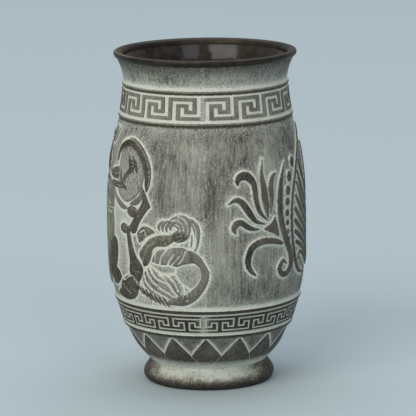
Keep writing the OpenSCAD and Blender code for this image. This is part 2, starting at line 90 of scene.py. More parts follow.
def wallRadius(z):
    return np.interp(z, wallLine[:, 1], wallLine[:, 0])


def mmPerDegree(z):
    return wallRadius(z) * math.pi / 180


def turnDegrees(co):
    # turn round the axis, 0 at the front and positive towards +X
    return np.degrees(np.arctan2(co[:, 0], -co[:, 1]))


def deselectAll():
    for o in bpy.context.selected_objects:
        o.select_set(False)


def makeActive(obj):
    deselectAll()
    obj.select_set(True)
    bpy.context.view_layer.objects.active = obj


def getCo(mesh):
    co = np.empty(len(mesh.vertices) * 3)
    mesh.vertices.foreach_get("co", co)
    return co.reshape(-1, 3)


def setCo(mesh, co):
    mesh.vertices.foreach_set("co", np.ascontiguousarray(co, float).ravel())
    mesh.update()


def setAttribute(obj, name, values):
    mesh = obj.data
    layer = mesh.attributes.get(name) or mesh.attributes.new(name, "FLOAT", "POINT")
    layer.data.foreach_set("value", np.ascontiguousarray(values, np.float32))


def smoothstep(x, low, high):
    t = np.clip((x - low) / (high - low), 0, 1)
    return t * t * (3 - 2 * t)


def applyModifier(obj, kind, **settings):
    makeActive(obj)
    mod = obj.modifiers.new(kind.title(), kind)
    for key, value in settings.items():
        setattr(mod, key, value)
    bpy.ops.object.modifier_apply(modifier=mod.name)


def setMode(mode):
    bpy.ops.object.mode_set(mode=mode)


def selectAll(action="SELECT"):
    bpy.ops.mesh.select_all(action=action)


def pickBy(kind):
    # edit mode picks by vertex, edge or face
    bpy.context.tool_settings.mesh_select_mode = (kind == "VERT", kind == "EDGE", kind == "FACE")


def editAll(obj, *steps):
    # runs edit-mode operators on the whole mesh
    makeActive(obj)
    pickBy("VERT")
    setMode("EDIT")
    selectAll()
    for step in steps:
        step()
    setMode("OBJECT")


def normalsOut():
    bpy.ops.mesh.normals_make_consistent(inside=False)


def newGrid(name, columns, rows):
    deselectAll()
    bpy.ops.mesh.primitive_grid_add(x_subdivisions=columns, y_subdivisions=rows, size=2)
    obj = bpy.context.active_object
    obj.name = name
    return obj


def gridPlace(obj):
    # each point's place on a new grid, 0 to 1 both ways
    return (getCo(obj.data)[:, :2] + 1) / 2


def dropFaces(obj, unwanted):
    makeActive(obj)
    obj.data.polygons.foreach_set("select", unwanted)
    pickBy("FACE")
    setMode("EDIT")
    bpy.ops.mesh.delete(type="FACE")
    setMode("OBJECT")


def srgb(hexCode):
    # hex sRGB to the linear values that a socket takes
    parts = [int(hexCode[i:i + 2], 16) / 255 for i in (1, 3, 5)]
    return tuple(c / 12.92 if c <= 0.04045 else ((c + 0.055) / 1.055) ** 2.4 for c in parts) + (1.0,)


def feed(tree, node, links):
    # sets a node's fixed inputs and links the sockets that feed it; i0 is the first input
    for name, value in links.items():
        socket = node.inputs[int(name[1:])] if name[0] == "i" and name[1:].isdigit() else node.inputs[name]
        if isinstance(value, bpy.types.NodeSocket):
            tree.links.new(value, socket)
        else:
            socket.default_value = value


def addNode(tree, kind, settings=None, **links):
    node = tree.nodes.new("ShaderNode" + kind)
    for key, value in (settings or {}).items():
        if key != "stops":
            setattr(node, key, value)
            continue
        while len(node.color_ramp.elements) < len(value):
            node.color_ramp.elements.new(0.5)
        for element, (place, colour) in zip(node.color_ramp.elements, value):
            element.position = place
            element.color = srgb(colour)
    feed(tree, node, links)
    return node


def newMaterial(name, patterns=None):
    # patterns are noises on object coordinates, as grain in mm, detail, roughness and stretch
    mat = bpy.data.materials.new(name)
    mat.use_nodes = True
    tree = mat.node_tree
    tree.nodes.clear()
    shader = addNode(tree, "BsdfPrincipled")
    addNode(tree, "OutputMaterial", i0=shader.outputs[0])
    noise = {}
    for key, (grain, detail, rough, stretch) in (patterns or {}).items():
        coords = addNode(tree, "TexCoord").outputs["Object"]
        scaled = addNode(tree, "Mapping", Vector=coords, Scale=stretch).outputs[0]
        noise[key] = addNode(tree, "TexNoise", Vector=scaled, Scale=1 / (grain * mm), Detail=detail,
                             Roughness=rough).outputs[0]
    return mat, tree, shader, noise


mixColours = {"data_type": "RGBA"}
timesPlus = {"operation": "MULTIPLY_ADD"}

# Slip-cast stoneware under a white wash that was brushed on and rubbed off again: the wash stays in the
# hollows and round the relief, open ground shows as grey streaks, and raised tops are bare dark clay.
stoneware = {
    "washStops": [(0.28, "#a6a79d"), (0.48, "#d0d4cb")],
    "bareStops": [(0.35, "#2c2923"), (0.65, "#58544a")],
    "scratchStops": (0.58, 0.72),
    "washEdge": (0.12, 0.85),  # where the wash starts and where it covers
    "bareEdge": (0.15, 0.85),
    "rough": (0.62, 0.85),  # bare clay and wash
    "specular": 0.3,
    "bumpMm": 0.3,
    "patterns": {
        "brush": (2.2, 4, 0.6, (1, 1, 0.07)),
        "cloud": (26, 3, 0.6, (1, 1, 0.6)),
        "grain": (1.4, 4, 0.7, (1, 1, 1)),
        "scratch": (0.9, 2, 0.6, (1, 1, 0.05)),
    },
}


def rubbedStoneware(name, deep, light, washGain=0.95, streaks=0.3, scratches=0.2):
    mat, tree, shader, noise = newMaterial(name, stoneware["patterns"])
    wash = addNode(tree, "Attribute", {"attribute_name": "wash"}).outputs["Fac"]
    bare = addNode(tree, "Attribute", {"attribute_name": "bare"}).outputs["Fac"]
    brush, grain = noise["brush"], noise["grain"]
    tone = addNode(tree, "Mix", i0=streaks, i2=grain, i3=brush).outputs[0]
    tone = addNode(tree, "Mix", i0=0.4, i2=tone, i3=noise["cloud"]).outputs[0]
    body = addNode(tree, "ValToRGB", {"stops": [(0.4, deep), (0.58, light)]}, i0=tone).outputs[0]
    slip = addNode(tree, "ValToRGB", {"stops": stoneware["washStops"]}, i0=grain).outputs[0]
    ragged = addNode(tree, "Math", {"operation": "SUBTRACT"}, i0=grain, i1=0.5).outputs[0]
    # bare clay shows in speckles where the body was wiped clean; the same darkening also paints shade and
    # shadow under the cords, ribs and lip, on the key line's side walls and in the skirt's folds
    worn = addNode(tree, "ValToRGB", {"stops": stoneware["bareStops"]}, i0=grain).outputs[0]
    low, high = stoneware["bareEdge"]
    wipedAndShaded = addNode(tree, "Math", timesPlus, i0=ragged, i1=1.4, i2=bare).outputs[0]
    wipedAndShaded = addNode(tree, "MapRange", i0=wipedAndShaded, i1=low, i2=high).outputs[0]
    body = addNode(tree, "Mix", mixColours, i0=wipedAndShaded, i6=body, i7=worn).outputs[2]
    # fine upright scratches of wash, then the wash itself with its edge broken up by the grain
    low, high = stoneware["scratchStops"]
    fine = addNode(tree, "MapRange", i0=noise["scratch"], i1=low, i2=high, i3=0.0, i4=scratches).outputs[0]
    low, high = stoneware["washEdge"]
    cover = addNode(tree, "Math", timesPlus, i0=ragged, i1=1.2, i2=wash).outputs[0]
    cover = addNode(tree, "MapRange", i0=cover, i1=low, i2=high, i3=0.0, i4=washGain).outputs[0]
    cover = addNode(tree, "Math", {"operation": "MAXIMUM"}, i0=cover, i1=fine).outputs[0]
    low, high = stoneware["rough"]
    bumps = addNode(tree, "Mix", i0=0.4, i2=grain, i3=brush).outputs[0]
    bump = addNode(tree, "Bump", Strength=0.35, Distance=stoneware["bumpMm"] * mm, Height=bumps)
    feed(tree, shader, {
        "Base Color": addNode(tree, "Mix", mixColours, i0=cover, i6=body, i7=slip).outputs[2],
        "Roughness": addNode(tree, "MapRange", i0=cover, i3=low, i4=high).outputs[0],
        "Normal": bump.outputs[0],
        "Specular IOR Level": stoneware["specular"],
    })
    return mat


# the open ground, then what was rubbed darker or paler: leaves, figures, limbs, key plates, key line, cloak
groundClay = rubbedStoneware("brushed_stoneware_ground", "#3f403a", "#96988f", 1.0, 0.5, 0.45)
bareClay = rubbedStoneware("rubbed_bare_stoneware", "#24211d", "#625e55")
figureClay = rubbedStoneware("rubbed_figure_stoneware", "#1f1c18", "#625d52", streaks=0.2, scratches=0.1)
limbClay = rubbedStoneware("rubbed_limb_stoneware", "#312e28", "#7d796c", streaks=0.2, scratches=0.1)
plateClay = rubbedStoneware("blackened_key_stoneware", "#1b1916", "#403c35", scratches=0.15)
lineClay = rubbedStoneware("wiped_key_stoneware", "#53524b", "#86857c")
backClay = rubbedStoneware("rubbed_cloak_stoneware", "#3c3c37", "#7a7a72", streaks=0.4)
foldClay = rubbedStoneware("pale_cloak_stoneware", "#4c4c46", "#8b8c84", streaks=0.4)

# Brown-black glaze, pooled darker and lighter, breaking to copper brown where it runs thin on the lip's edge;
# on the lip's left and back that copper is also painted light and a painted reflection
glaze = {
    "copper": "#7d6552",
    "copperEdge": (0.75, 1.35),
    "bumpMm": 0.6,
    "patterns": {
        "pool": (9, 4, 0.65, (1, 1, 1)),
        "speck": (2.4, 3, 0.6, (1, 1, 1)),
        "ripple": (9, 2, 0.5, (1, 1, 1)),
    },
}


def darkGlaze(name, deep, light, rough, specular, tint):
    mat, tree, shader, noise = newMaterial(name, glaze["patterns"])
    thin = addNode(tree, "Attribute", {"attribute_name": "thin"}).outputs["Fac"]
    body = addNode(tree, "ValToRGB", {"stops": [(0.35, deep), (0.68, light)]}, i0=noise["pool"]).outputs[0]
    low, high = glaze["copperEdge"]
    broken = addNode(tree, "Math", timesPlus, i0=noise["speck"], i1=0.8, i2=thin).outputs[0]
    broken = addNode(tree, "MapRange", i0=broken, i1=low, i2=high).outputs[0]
    bump = addNode(tree, "Bump", Strength=0.25, Distance=glaze["bumpMm"] * mm, Height=noise["ripple"])
    colour = addNode(tree, "Mix", mixColours, i0=broken, i6=body, i7=srgb(glaze["copper"]))
    feed(tree, shader, {
        "Base Color": colour.outputs[2],
        "Normal": bump.outputs[0],
        "Roughness": rough,
        "Specular IOR Level": specular,
        "Specular Tint": srgb(tint),
    })
    return mat


insideGlaze = darkGlaze("brown_black_gloss_glaze", "#1d1a16", "#3a342d", 0.14, 0.36, "#c4cad4")
lipGlaze = darkGlaze("wiped_brown_lip_glaze", "#14120f", "#2e2a25", 0.4, 0.22, "#fff0e0")

# Cream wash over brown clay on the foot, worn through in speckles towards the table
footWash = {
    "stops": [(0.42, "#26231f"), (0.6, "#58544b"), (0.74, "#8a8a82"), (0.9, "#b6bdb6")],
    "rough": 0.7,
    "bumpMm": 0.3,
    "patterns": {
        "grain": (1.6, 5, 0.75, (1, 1, 1)),
        "patch": (9, 3, 0.6, (1, 1, 1.6)),
    },
}


def speckledWash(name):
    mat, tree, shader, noise = newMaterial(name, footWash["patterns"])
    wash = addNode(tree, "Attribute", {"attribute_name": "wash"}).outputs["Fac"]
    tone = addNode(tree, "Mix", i0=0.35, i2=noise["grain"], i3=noise["patch"]).outputs[0]
    tone = addNode(tree, "Math", timesPlus, i0=tone, i1=1.3, i2=-0.25).outputs[0]
    tone = addNode(tree, "Math", timesPlus, i0=wash, i1=0.5, i2=tone).outputs[0]
    bump = addNode(tree, "Bump", Strength=0.3, Distance=footWash["bumpMm"] * mm, Height=noise["grain"])
    feed(tree, shader, {
        "Base Color": addNode(tree, "ValToRGB", {"stops": footWash["stops"]}, i0=tone).outputs[0],
        "Roughness": footWash["rough"],
        "Normal": bump.outputs[0],
    })
    return mat


footFinish = speckledWash("speckled_foot_wash")

allRelief = []
mouldings = []


def turn(name, profile, steps=512):
    # draws a closed outline point by point, then spins it round the axis
    deselectAll()
    pickBy("VERT")
    bpy.ops.mesh.primitive_plane_add(size=mm, location=(0, 0, 0))
    obj = bpy.context.active_object
    obj.name = name
    points = [Vector((x * mm, 0, z * mm)) for x, z in profile]
    editAll(obj, lambda: bpy.ops.mesh.merge(type="CENTER"),
            lambda: bpy.ops.transform.translate(value=points[0]))
    makeActive(obj)
    setMode("EDIT")
    for a, b in zip(points, points[1:]):
        bpy.ops.mesh.extrude_region_move(TRANSFORM_OT_translate={"value": b - a})
    selectAll()
    bpy.ops.mesh.edge_face_add()
    bpy.ops.mesh.delete(type="ONLY_FACE")
    selectAll()
    bpy.ops.mesh.spin(steps=steps, angle=2 * math.pi, center=(0, 0, 0), axis=(0, 0, 1))
    selectAll()
    bpy.ops.mesh.remove_doubles(threshold=1e-6)
    normalsOut()
    setMode("OBJECT")
    bpy.ops.object.shade_smooth_by_angle(angle=math.radians(40))
    return obj


def finish(obj, material, slot, *nodes):
    obj.data.materials.clear()
    obj.data.materials.append(material)
    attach(obj, "root")
    if nodes:
        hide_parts(*nodes)


def turnMoulding(name, node, z, width, out, material):
    # a half-round cord or rib on the wall; wash lies on its upper edge, brightened further as a painted
    # highlight, and its under side is darkened as painted shade
    half, root = width / 2, 1
    bead = [(wallRadius(z + half * math.cos(a)) + out * math.sin(a), z + half * math.cos(a))
            for a in np.radians(np.arange(0, 181, 15))]
    back = [(wallRadius(z + side * half) - root, z + side * half) for side in (-1, 1)]
    obj = turn(name, bead + back, 360)
    rise = (getCo(obj.data)[:, 2] / mm - z) / half
    setAttribute(obj, "wash", 0.9 * smoothstep(rise, 0.5, 0.95))
    setAttribute(obj, "bare", 1.3 * smoothstep(-rise, -0.1, 0.5))
    finish(obj, material, "dark_clay", node)
    mouldings.append((obj, z))


cordTop, cordLow = vase["cords"]
ribTop, ribLow = vase["ribs"]
turnMoulding("neck_cord_top", "neck_cord_upper", cordTop, 3, 1.2, lineClay)
turnMoulding("neck_cord_low", "neck_cord_lower", cordLow, 3, 1.2, lineClay)
turnMoulding("belly_rib_top", "belly_rib_upper", ribTop, 3.6, 1.5, plateClay)
turnMoulding("belly_rib_low", "belly_rib_lower", ribLow, 3.4, 1.5, plateClay)
print("cords and ribs turned")


def layOnWall(obj, turn0):
    # the flat sprig faces -Y; x is mm round the wall from turn0, z is height, y is mm inward
    co = getCo(obj.data) / mm
    z = co[:, 2]
    angle = np.radians(turn0 + co[:, 0] / mmPerDegree(z))
    r = wallRadius(z) - co[:, 1]
    setCo(obj.data, np.stack([r * np.sin(angle), -r * np.cos(angle), z], 1) * mm)


def outHeight(co):
    # how far each point stands out from the wall, mm
    p = co / mm
    return np.hypot(p[:, 0], p[:, 1]) - wallRadius(p[:, 2])


def facingOut(obj):
    # 1 where a point's normal looks straight away from the axis
    mesh = obj.data
    radial = getCo(mesh) * np.array([1, 1, 0])
    radial /= np.linalg.norm(radial, axis=1)[:, None] + 1e-9
    normals = np.empty(len(radial) * 3)
    mesh.vertices.foreach_get("normal", normals)
    return (normals.reshape(-1, 3) * radial).sum(1)


def rubWash(obj, gain=1.0, hollowGain=0.6, lowGain=0.35, base=0.0):
    # wash stays on side walls, in hollows and on low parts, and is rubbed off what stands proud
    mesh = obj.data
    out = outHeight(getCo(mesh))
    edges = np.empty(len(mesh.edges) * 2, int)
    mesh.edges.foreach_get("vertices", edges)
    a, b = edges.reshape(-1, 2).T
    count = np.bincount(np.r_[a, b], minlength=len(out)) + 1.0
    soft = out.copy()
    for _ in range(16):
        total = soft.copy()
        np.add.at(total, a, soft[b])
        np.add.at(total, b, soft[a])
        soft = total / count
    hollow = np.clip((soft - out) / 0.25, -1, 1)
    wash = 1 - smoothstep(facingOut(obj), 0.25, 0.75)
    wash += hollowGain * np.maximum(hollow, 0) - 0.3 * np.maximum(-hollow, 0) + base
    wash += lowGain * np.clip(1 - out / out.max(), 0, 1) ** 1.5
    setAttribute(obj, "wash", np.clip(wash * gain, 0, 1))


# Neck key pattern: one raised line whose unit is repeated round the neck
neckKey = {
    "units": 16,
    "unitColumns": 4,
    "startDeg": -180,
    "cells": 6,  # grid cells from one upright to the next, and from one row to the next
    "rowCells": 6,
    "shift": 0.5,  # the line runs through the middles of cells and is three wide
    "edgeRows": (1.5, 1.5),
    "lineCells": 1.4,
    "raised": True,
    "rowMm": 5.15,
    "lowRow": 232.2,
    "out": 0.9,
    "bevelMm": 0.32,
    "path": [(0, 0), (0, 3), (3, 3), (3, 1), (2, 1), (2, 2), (1, 2), (1, 0)],
}

# Base key pattern: a dark plate with the key cut through it as a groove that shows the white wash
baseKey = {
    "units": 17,
    "unitColumns": 6,
    "startDeg": 0.27 - 9 * 360 / 17,  # the strip is closed at the back
    "cells": 8,
    "rowCells": 6,
    "shift": 0,  # the groove runs along the edges of cells and is two wide
    "edgeRows": (4, 5),  # plate below and above the outer runs of the groove, in cells
    "lineCells": 1,
    "raised": False,
    "rowMm": 3.3,
    "lowRow": 56.3,
    "out": 0.9,
    "bevelMm": 0.22,
    "path": [(0, 3), (5, 3), (5, 1), (4, 1), (4, 2), (3, 2), (3, 0), (8, 0), (8, 2), (7, 2), (7, 1), (6, 1)],
}
keyRootMm = 0.3  # how far a key reaches into the wall


def pathDistance(centres, path):
    # distance to a path of level and upright runs, with square corners
    near = np.full(len(centres), 1e9)
    for a, b in zip(path[:-1], path[1:]):
        low, high = np.minimum(a, b), np.maximum(a, b)
        near = np.minimum(near, np.maximum(np.maximum(low - centres, centres - high), 0).max(1))
    return near


def pressKey(name, key):
    # a grid whose unwanted cells are cut away, thickened outward, its edges softened, laid round the wall
    cells, rowCells, (margin, topMargin) = key["cells"], key["rowCells"], key["edgeRows"]
    size = (key["unitColumns"] * cells * key["units"], int(3 * rowCells + margin + topMargin))
    path = [((key["unitColumns"] * k + c) * cells + key["shift"], r * rowCells + margin)
            for k in range(-2, key["units"] + 1) for c, r in key["path"]]
    obj = newGrid(name, *size)
    grid = gridPlace(obj) * size
    onLine = pathDistance(np.array([grid[list(p.vertices)].mean(0) for p in obj.data.polygons]), path)
    onLine = onLine <= key["lineCells"]
    dropFaces(obj, ~onLine if key["raised"] else onLine)
    column, row = (gridPlace(obj) * size).T
    z = key["lowRow"] + (row - margin) / rowCells * key["rowMm"]
    x = (column - key["shift"]) / size[0] * 360 * mmPerDegree(z)
    setCo(obj.data, np.stack([x, np.full(len(x), keyRootMm), z], 1) * mm)
    thick = (0, -(key["out"] + keyRootMm) * mm, 0)
    editAll(obj, lambda: bpy.ops.mesh.extrude_region_move(TRANSFORM_OT_translate={"value": thick}))
    creased = math.radians(50)
    applyModifier(obj, "BEVEL", width=key["bevelMm"] * mm, segments=2, limit_method="ANGLE",
                  angle_limit=creased)
    layOnWall(obj, key["startDeg"])
    editAll(obj, normalsOut)
    makeActive(obj)
    bpy.ops.object.shade_smooth_by_angle(angle=creased)
    return obj


def nearSeam(obj, turnDeg, width):
    # 1 on the mould seam at the front, where the pattern was fettled and washed over
    return np.exp(-((turnDegrees(getCo(obj.data)) - turnDeg) / width) ** 2)


def splitPlates(plates, name, cut):
    # what hangs from the rib stays one piece, what stands on the lower rib becomes the other
    makeActive(plates)
    pickBy("VERT")
    setMode("EDIT")
    selectAll("DESELECT")
    setMode("OBJECT")
    for vertex, z in zip(plates.data.vertices, getCo(plates.data)[:, 2] / mm):
        vertex.select = bool(z < cut)
    setMode("EDIT")
    bpy.ops.mesh.select_linked()
    bpy.ops.mesh.separate(type="SELECTED")
    setMode("OBJECT")
    standing = [o for o in bpy.context.selected_objects if o is not plates][0]
    standing.name = name
    return standing


keyLine = pressKey("neck_key_line", neckKey)
setAttribute(keyLine, "wash", 0.5 * nearSeam(keyLine, 0, 2.4))
# the key line's side walls are darkened as painted shade
setAttribute(keyLine, "bare", 0.75 * (1 - smoothstep(facingOut(keyLine), 0.5, 0.97)))
finish(keyLine, lineClay, "dark_clay", "neck_key_band")
print("neck key pressed", len(keyLine.data.polygons))

keyHanging = pressKey("base_key_hanging_plate", baseKey)
plateSides = 1 - smoothstep(facingOut(keyHanging), 0.4, 0.9)
setAttribute(keyHanging, "wash", plateSides + 0.45 * nearSeam(keyHanging, -1, 3.5))
keyStanding = splitPlates(keyHanging, "base_key_standing_plate", baseKey["lowRow"] - 1.2)
finish(keyHanging, plateClay, "dark_clay", "base_key_hanging")
finish(keyStanding, plateClay, "dark_clay", "base_key_standing")
allRelief += [keyLine, keyHanging, keyStanding]
print("base key cut", len(keyHanging.data.polygons), len(keyStanding.data.polygons))


def strokeDepth(points, path):
    # how deep each point lies inside a line of changing half width (x, z, half width)
    best = np.full(len(points), -1e9)
    for a, b in zip(path[:-1], path[1:]):
        ab = b[:2] - a[:2]
        t = np.clip(((points - a[:2]) @ ab) / max(ab @ ab, 1e-12), 0, 1)
        away = np.linalg.norm(points - (a[:2] + t[:, None] * ab), axis=1)
        best = np.maximum(best, a[2] + t * (b[2] - a[2]) - away)
    return best


def outlineDepth(points, outline):
    # distance to a closed outline, positive inside
    away = np.full(len(points), 1e9)
    inside = np.zeros(len(points), bool)
    x, z = points.T
    for a, b in zip(outline, np.roll(outline, -1, 0)):
        ab = b - a
        t = np.clip(((points - a) @ ab) / max(ab @ ab, 1e-12), 0, 1)
        away = np.minimum(away, np.linalg.norm(points - (a + t[:, None] * ab), axis=1))
        crosses = (a[1] > z) != (b[1] > z)
        if abs(ab[1]) > 1e-9:
            inside ^= crosses & (x < a[0] + (z - a[1]) / ab[1] * ab[0])
    return np.where(inside, away, -away)


def flatPath(path, turn0, smooth=6, closed=False):
    p = np.array(path, float)
    p[:, 0] = (p[:, 0] - turn0) * mmPerDegree(p[:, 1])
    if closed and smooth:
        return smoothCurve(np.vstack([p[-2:], p, p[:2]]), smooth)[2 * smooth:-2 * smooth - 1]
    return smoothCurve(p, smooth) if smooth else p


relief = {
    "below": -0.5,  # how far the grid round a sprig dips under the wall's surface, mm
    "trim": -0.3,  # cells that lie wholly below this are cut away
    "thick": 0.7,
    "margin": 2,  # grid left round a sprig before it is trimmed
    "slope": 6,  # how many times wider than its edge a sprig's rounding is
    "foldedLift": 0.85,  # a sprig with folds starts lower, to leave room for their ridges
    "foldReach": 5,
}


def raiseSprig(name, node, shapes, lift=1.6, edge=0.5, roundness=0.3, folds=(), step=0.5, turn0=None,
               material=bareClay, slot="dark_clay", smooth=6, foldWide=1.0, bareFolds=0.0, **rub):
    # one sprig of relief: a grid pressed up inside its shapes, trimmed, thickened and laid on the wall.
    # a shape is a path, or a path with its own lift: (turn, z, half width) draws a line, (turn, z) an area
    below, margin, reachOut = relief["below"], relief["margin"], relief["foldReach"]
    shapes = [s if isinstance(s, tuple) else (s, lift) for s in shapes]
    turn0 = np.concatenate([[q[0] for q in path] for path, _ in shapes]).mean() if turn0 is None else turn0
    flat = []
    for path, up in shapes:
        isLine = len(path[0]) == 3
        line = flatPath(path, turn0, smooth if len(path) > 2 else 0, not isLine)
        flat.append((isLine, line, up * (relief["foldedLift"] if folds else 1)))
    reach = [p[:, :2] + d * (p[:, 2:3] if isLine else 0) for isLine, p, _ in flat for d in (-1, 1)]
    low = np.vstack(reach).min(0) - margin
    high = np.vstack(reach).max(0) + margin
    columns, rows = np.maximum(np.ceil((high - low) / step).astype(int), 2)
    obj = newGrid(name, int(columns), int(rows))
    points = low + gridPlace(obj) * (high - low)
    out = np.full(len(points), below)
    for isLine, path, up in flat:
        pad = margin + (path[:, 2].max() if isLine else 0)
        near = ((points > path[:, :2].min(0) - pad) & (points < path[:, :2].max(0) + pad)).all(1)
        depth = np.maximum((strokeDepth if isLine else outlineDepth)(points[near], path), -margin)
        sharp, soft = 1 - np.exp(-depth / edge), 1 - np.exp(-depth / (edge * relief["slope"]))
        shape = (1 - roundness) * sharp + roundness * soft
        out[near] = np.maximum(out[near], np.maximum(up * shape, below))
    dug = np.zeros(len(points))
    for path, width, amount in folds:
        line = flatPath([q + (0,) for q in path], turn0, 5 if len(path) > 2 else 0)
        width *= foldWide
        near = ((points > line[:, :2].min(0) - reachOut) & (points < line[:, :2].max(0) + reachOut)).all(1)
        away = -strokeDepth(points[near], line)
        # a groove with a low ridge on each side of it
        form = np.exp(-(away / width) ** 2) - 0.4 * np.exp(-((away - 2 * width) / width) ** 2)
        out[near] += amount * form * smoothstep(out[near], 0, 0.5)
        dug[near] = np.maximum(dug[near], np.exp(-(away / width / 0.6) ** 2))
    out = np.clip(out, below, lift)
    polygons = np.array([p.vertices[:] for p in obj.data.polygons])
    setCo(obj.data, np.stack([points[:, 0], -out, points[:, 1]], 1) * mm)
    # the fold grooves can be darkened as painted shade
    setAttribute(obj, "bare", bareFolds * dug)
    dropFaces(obj, out[polygons].max(1) < relief["trim"])
    applyModifier(obj, "SOLIDIFY", thickness=relief["thick"] * mm, offset=-1)
    layOnWall(obj, turn0)
    makeActive(obj)
    bpy.ops.object.shade_smooth()
    rubWash(obj, **rub)
    finish(obj, material, slot, *([node] if node else []))
    allRelief.append(obj)
    return obj


flatTop = {"edge": 0.35, "roundness": 0.15}  # sprigs with a sharp edge and a nearly flat face

# Triangle frieze under the lower rib: eight tall triangles in front, seven that show between them behind
triangles = {
    "top": 48,
    "foot": 20.5,
    "halfDeg": 19.4,
    "backFoot": 21.5,
    "backHalfDeg": 18.8,
    "pitch": 24,
    "seamGap": 0.2,
    "front": (-168, -120, -72, -24, 24, 72, 120, 168),
    "back": (-144, -96, -48, 0, 48, 96, 144),
}


def slant(half, top, foot, low, high, count):
    # points down the side of a triangle, as turn from its axis and height
    return [(half * t, top - (top - foot) * t) for t in np.linspace(low, high, count)]


def triangleOutline(turnDeg):
    # straight-sided; beside the seam at the back a triangle is cut off short of it
    right = slant(triangles["halfDeg"], triangles["top"], triangles["foot"], 0.02, 1, 10)
    cut = triangles["pitch"] / 2 - triangles["seamGap"]
    cutLeft, cutRight = [cut if side * turnDeg > 160 else 360 for side in (-1, 1)]
    return ([(turnDeg - min(a, cutLeft), z) for a, z in right]
            + [(turnDeg + min(a, cutRight), z) for a, z in right[::-1]])


def kiteOutline(turnDeg):
    # what shows of a back triangle between its two neighbours
    half, pitch = triangles["backHalfDeg"], triangles["pitch"]
    shape = (triangles["top"], triangles["backFoot"])
    meet = pitch / half / 2
    right = slant(half, *shape, 0.02, meet, 6)
    right += [(pitch - a, z) for a, z in slant(half, *shape, meet, 1, 6)[1:]]
    return [(turnDeg - a, z) for a, z in right] + [(turnDeg + a, z) for a, z in right[::-1]]


def pressTriangles(name, node, outline, turns, lift):
    parts = []
    for i, turnDeg in enumerate(turns):
        parts.append(raiseSprig(f"{name}_{i}", None, [outline(turnDeg)], lift=lift, turn0=turnDeg, smooth=0,
                                step=0.6, **flatTop))
        allRelief.pop()
    whole = parts[0]
    makeActive(whole)
    for part in parts:
        part.select_set(True)
    bpy.ops.object.join()
    whole.name = name
    # the wash climbs a little way up from the foot
    z = getCo(whole.data)[:, 2] / mm
    wash = np.empty(len(z), np.float32)
    whole.data.attributes["wash"].data.foreach_get("value", wash)
    setAttribute(whole, "wash", np.clip(wash + 0.75 * (1 - smoothstep(z, triangles["foot"], 28)), 0, 1))
    finish(whole, bareClay, "dark_clay", node)
    allRelief.append(whole)


pressTriangles("triangles_front", "base_triangles_front", triangleOutline, triangles["front"], 0.9)
pressTriangles("triangles_back", "base_triangles_back", kiteOutline, triangles["back"], 0.6)
print("triangles pressed")

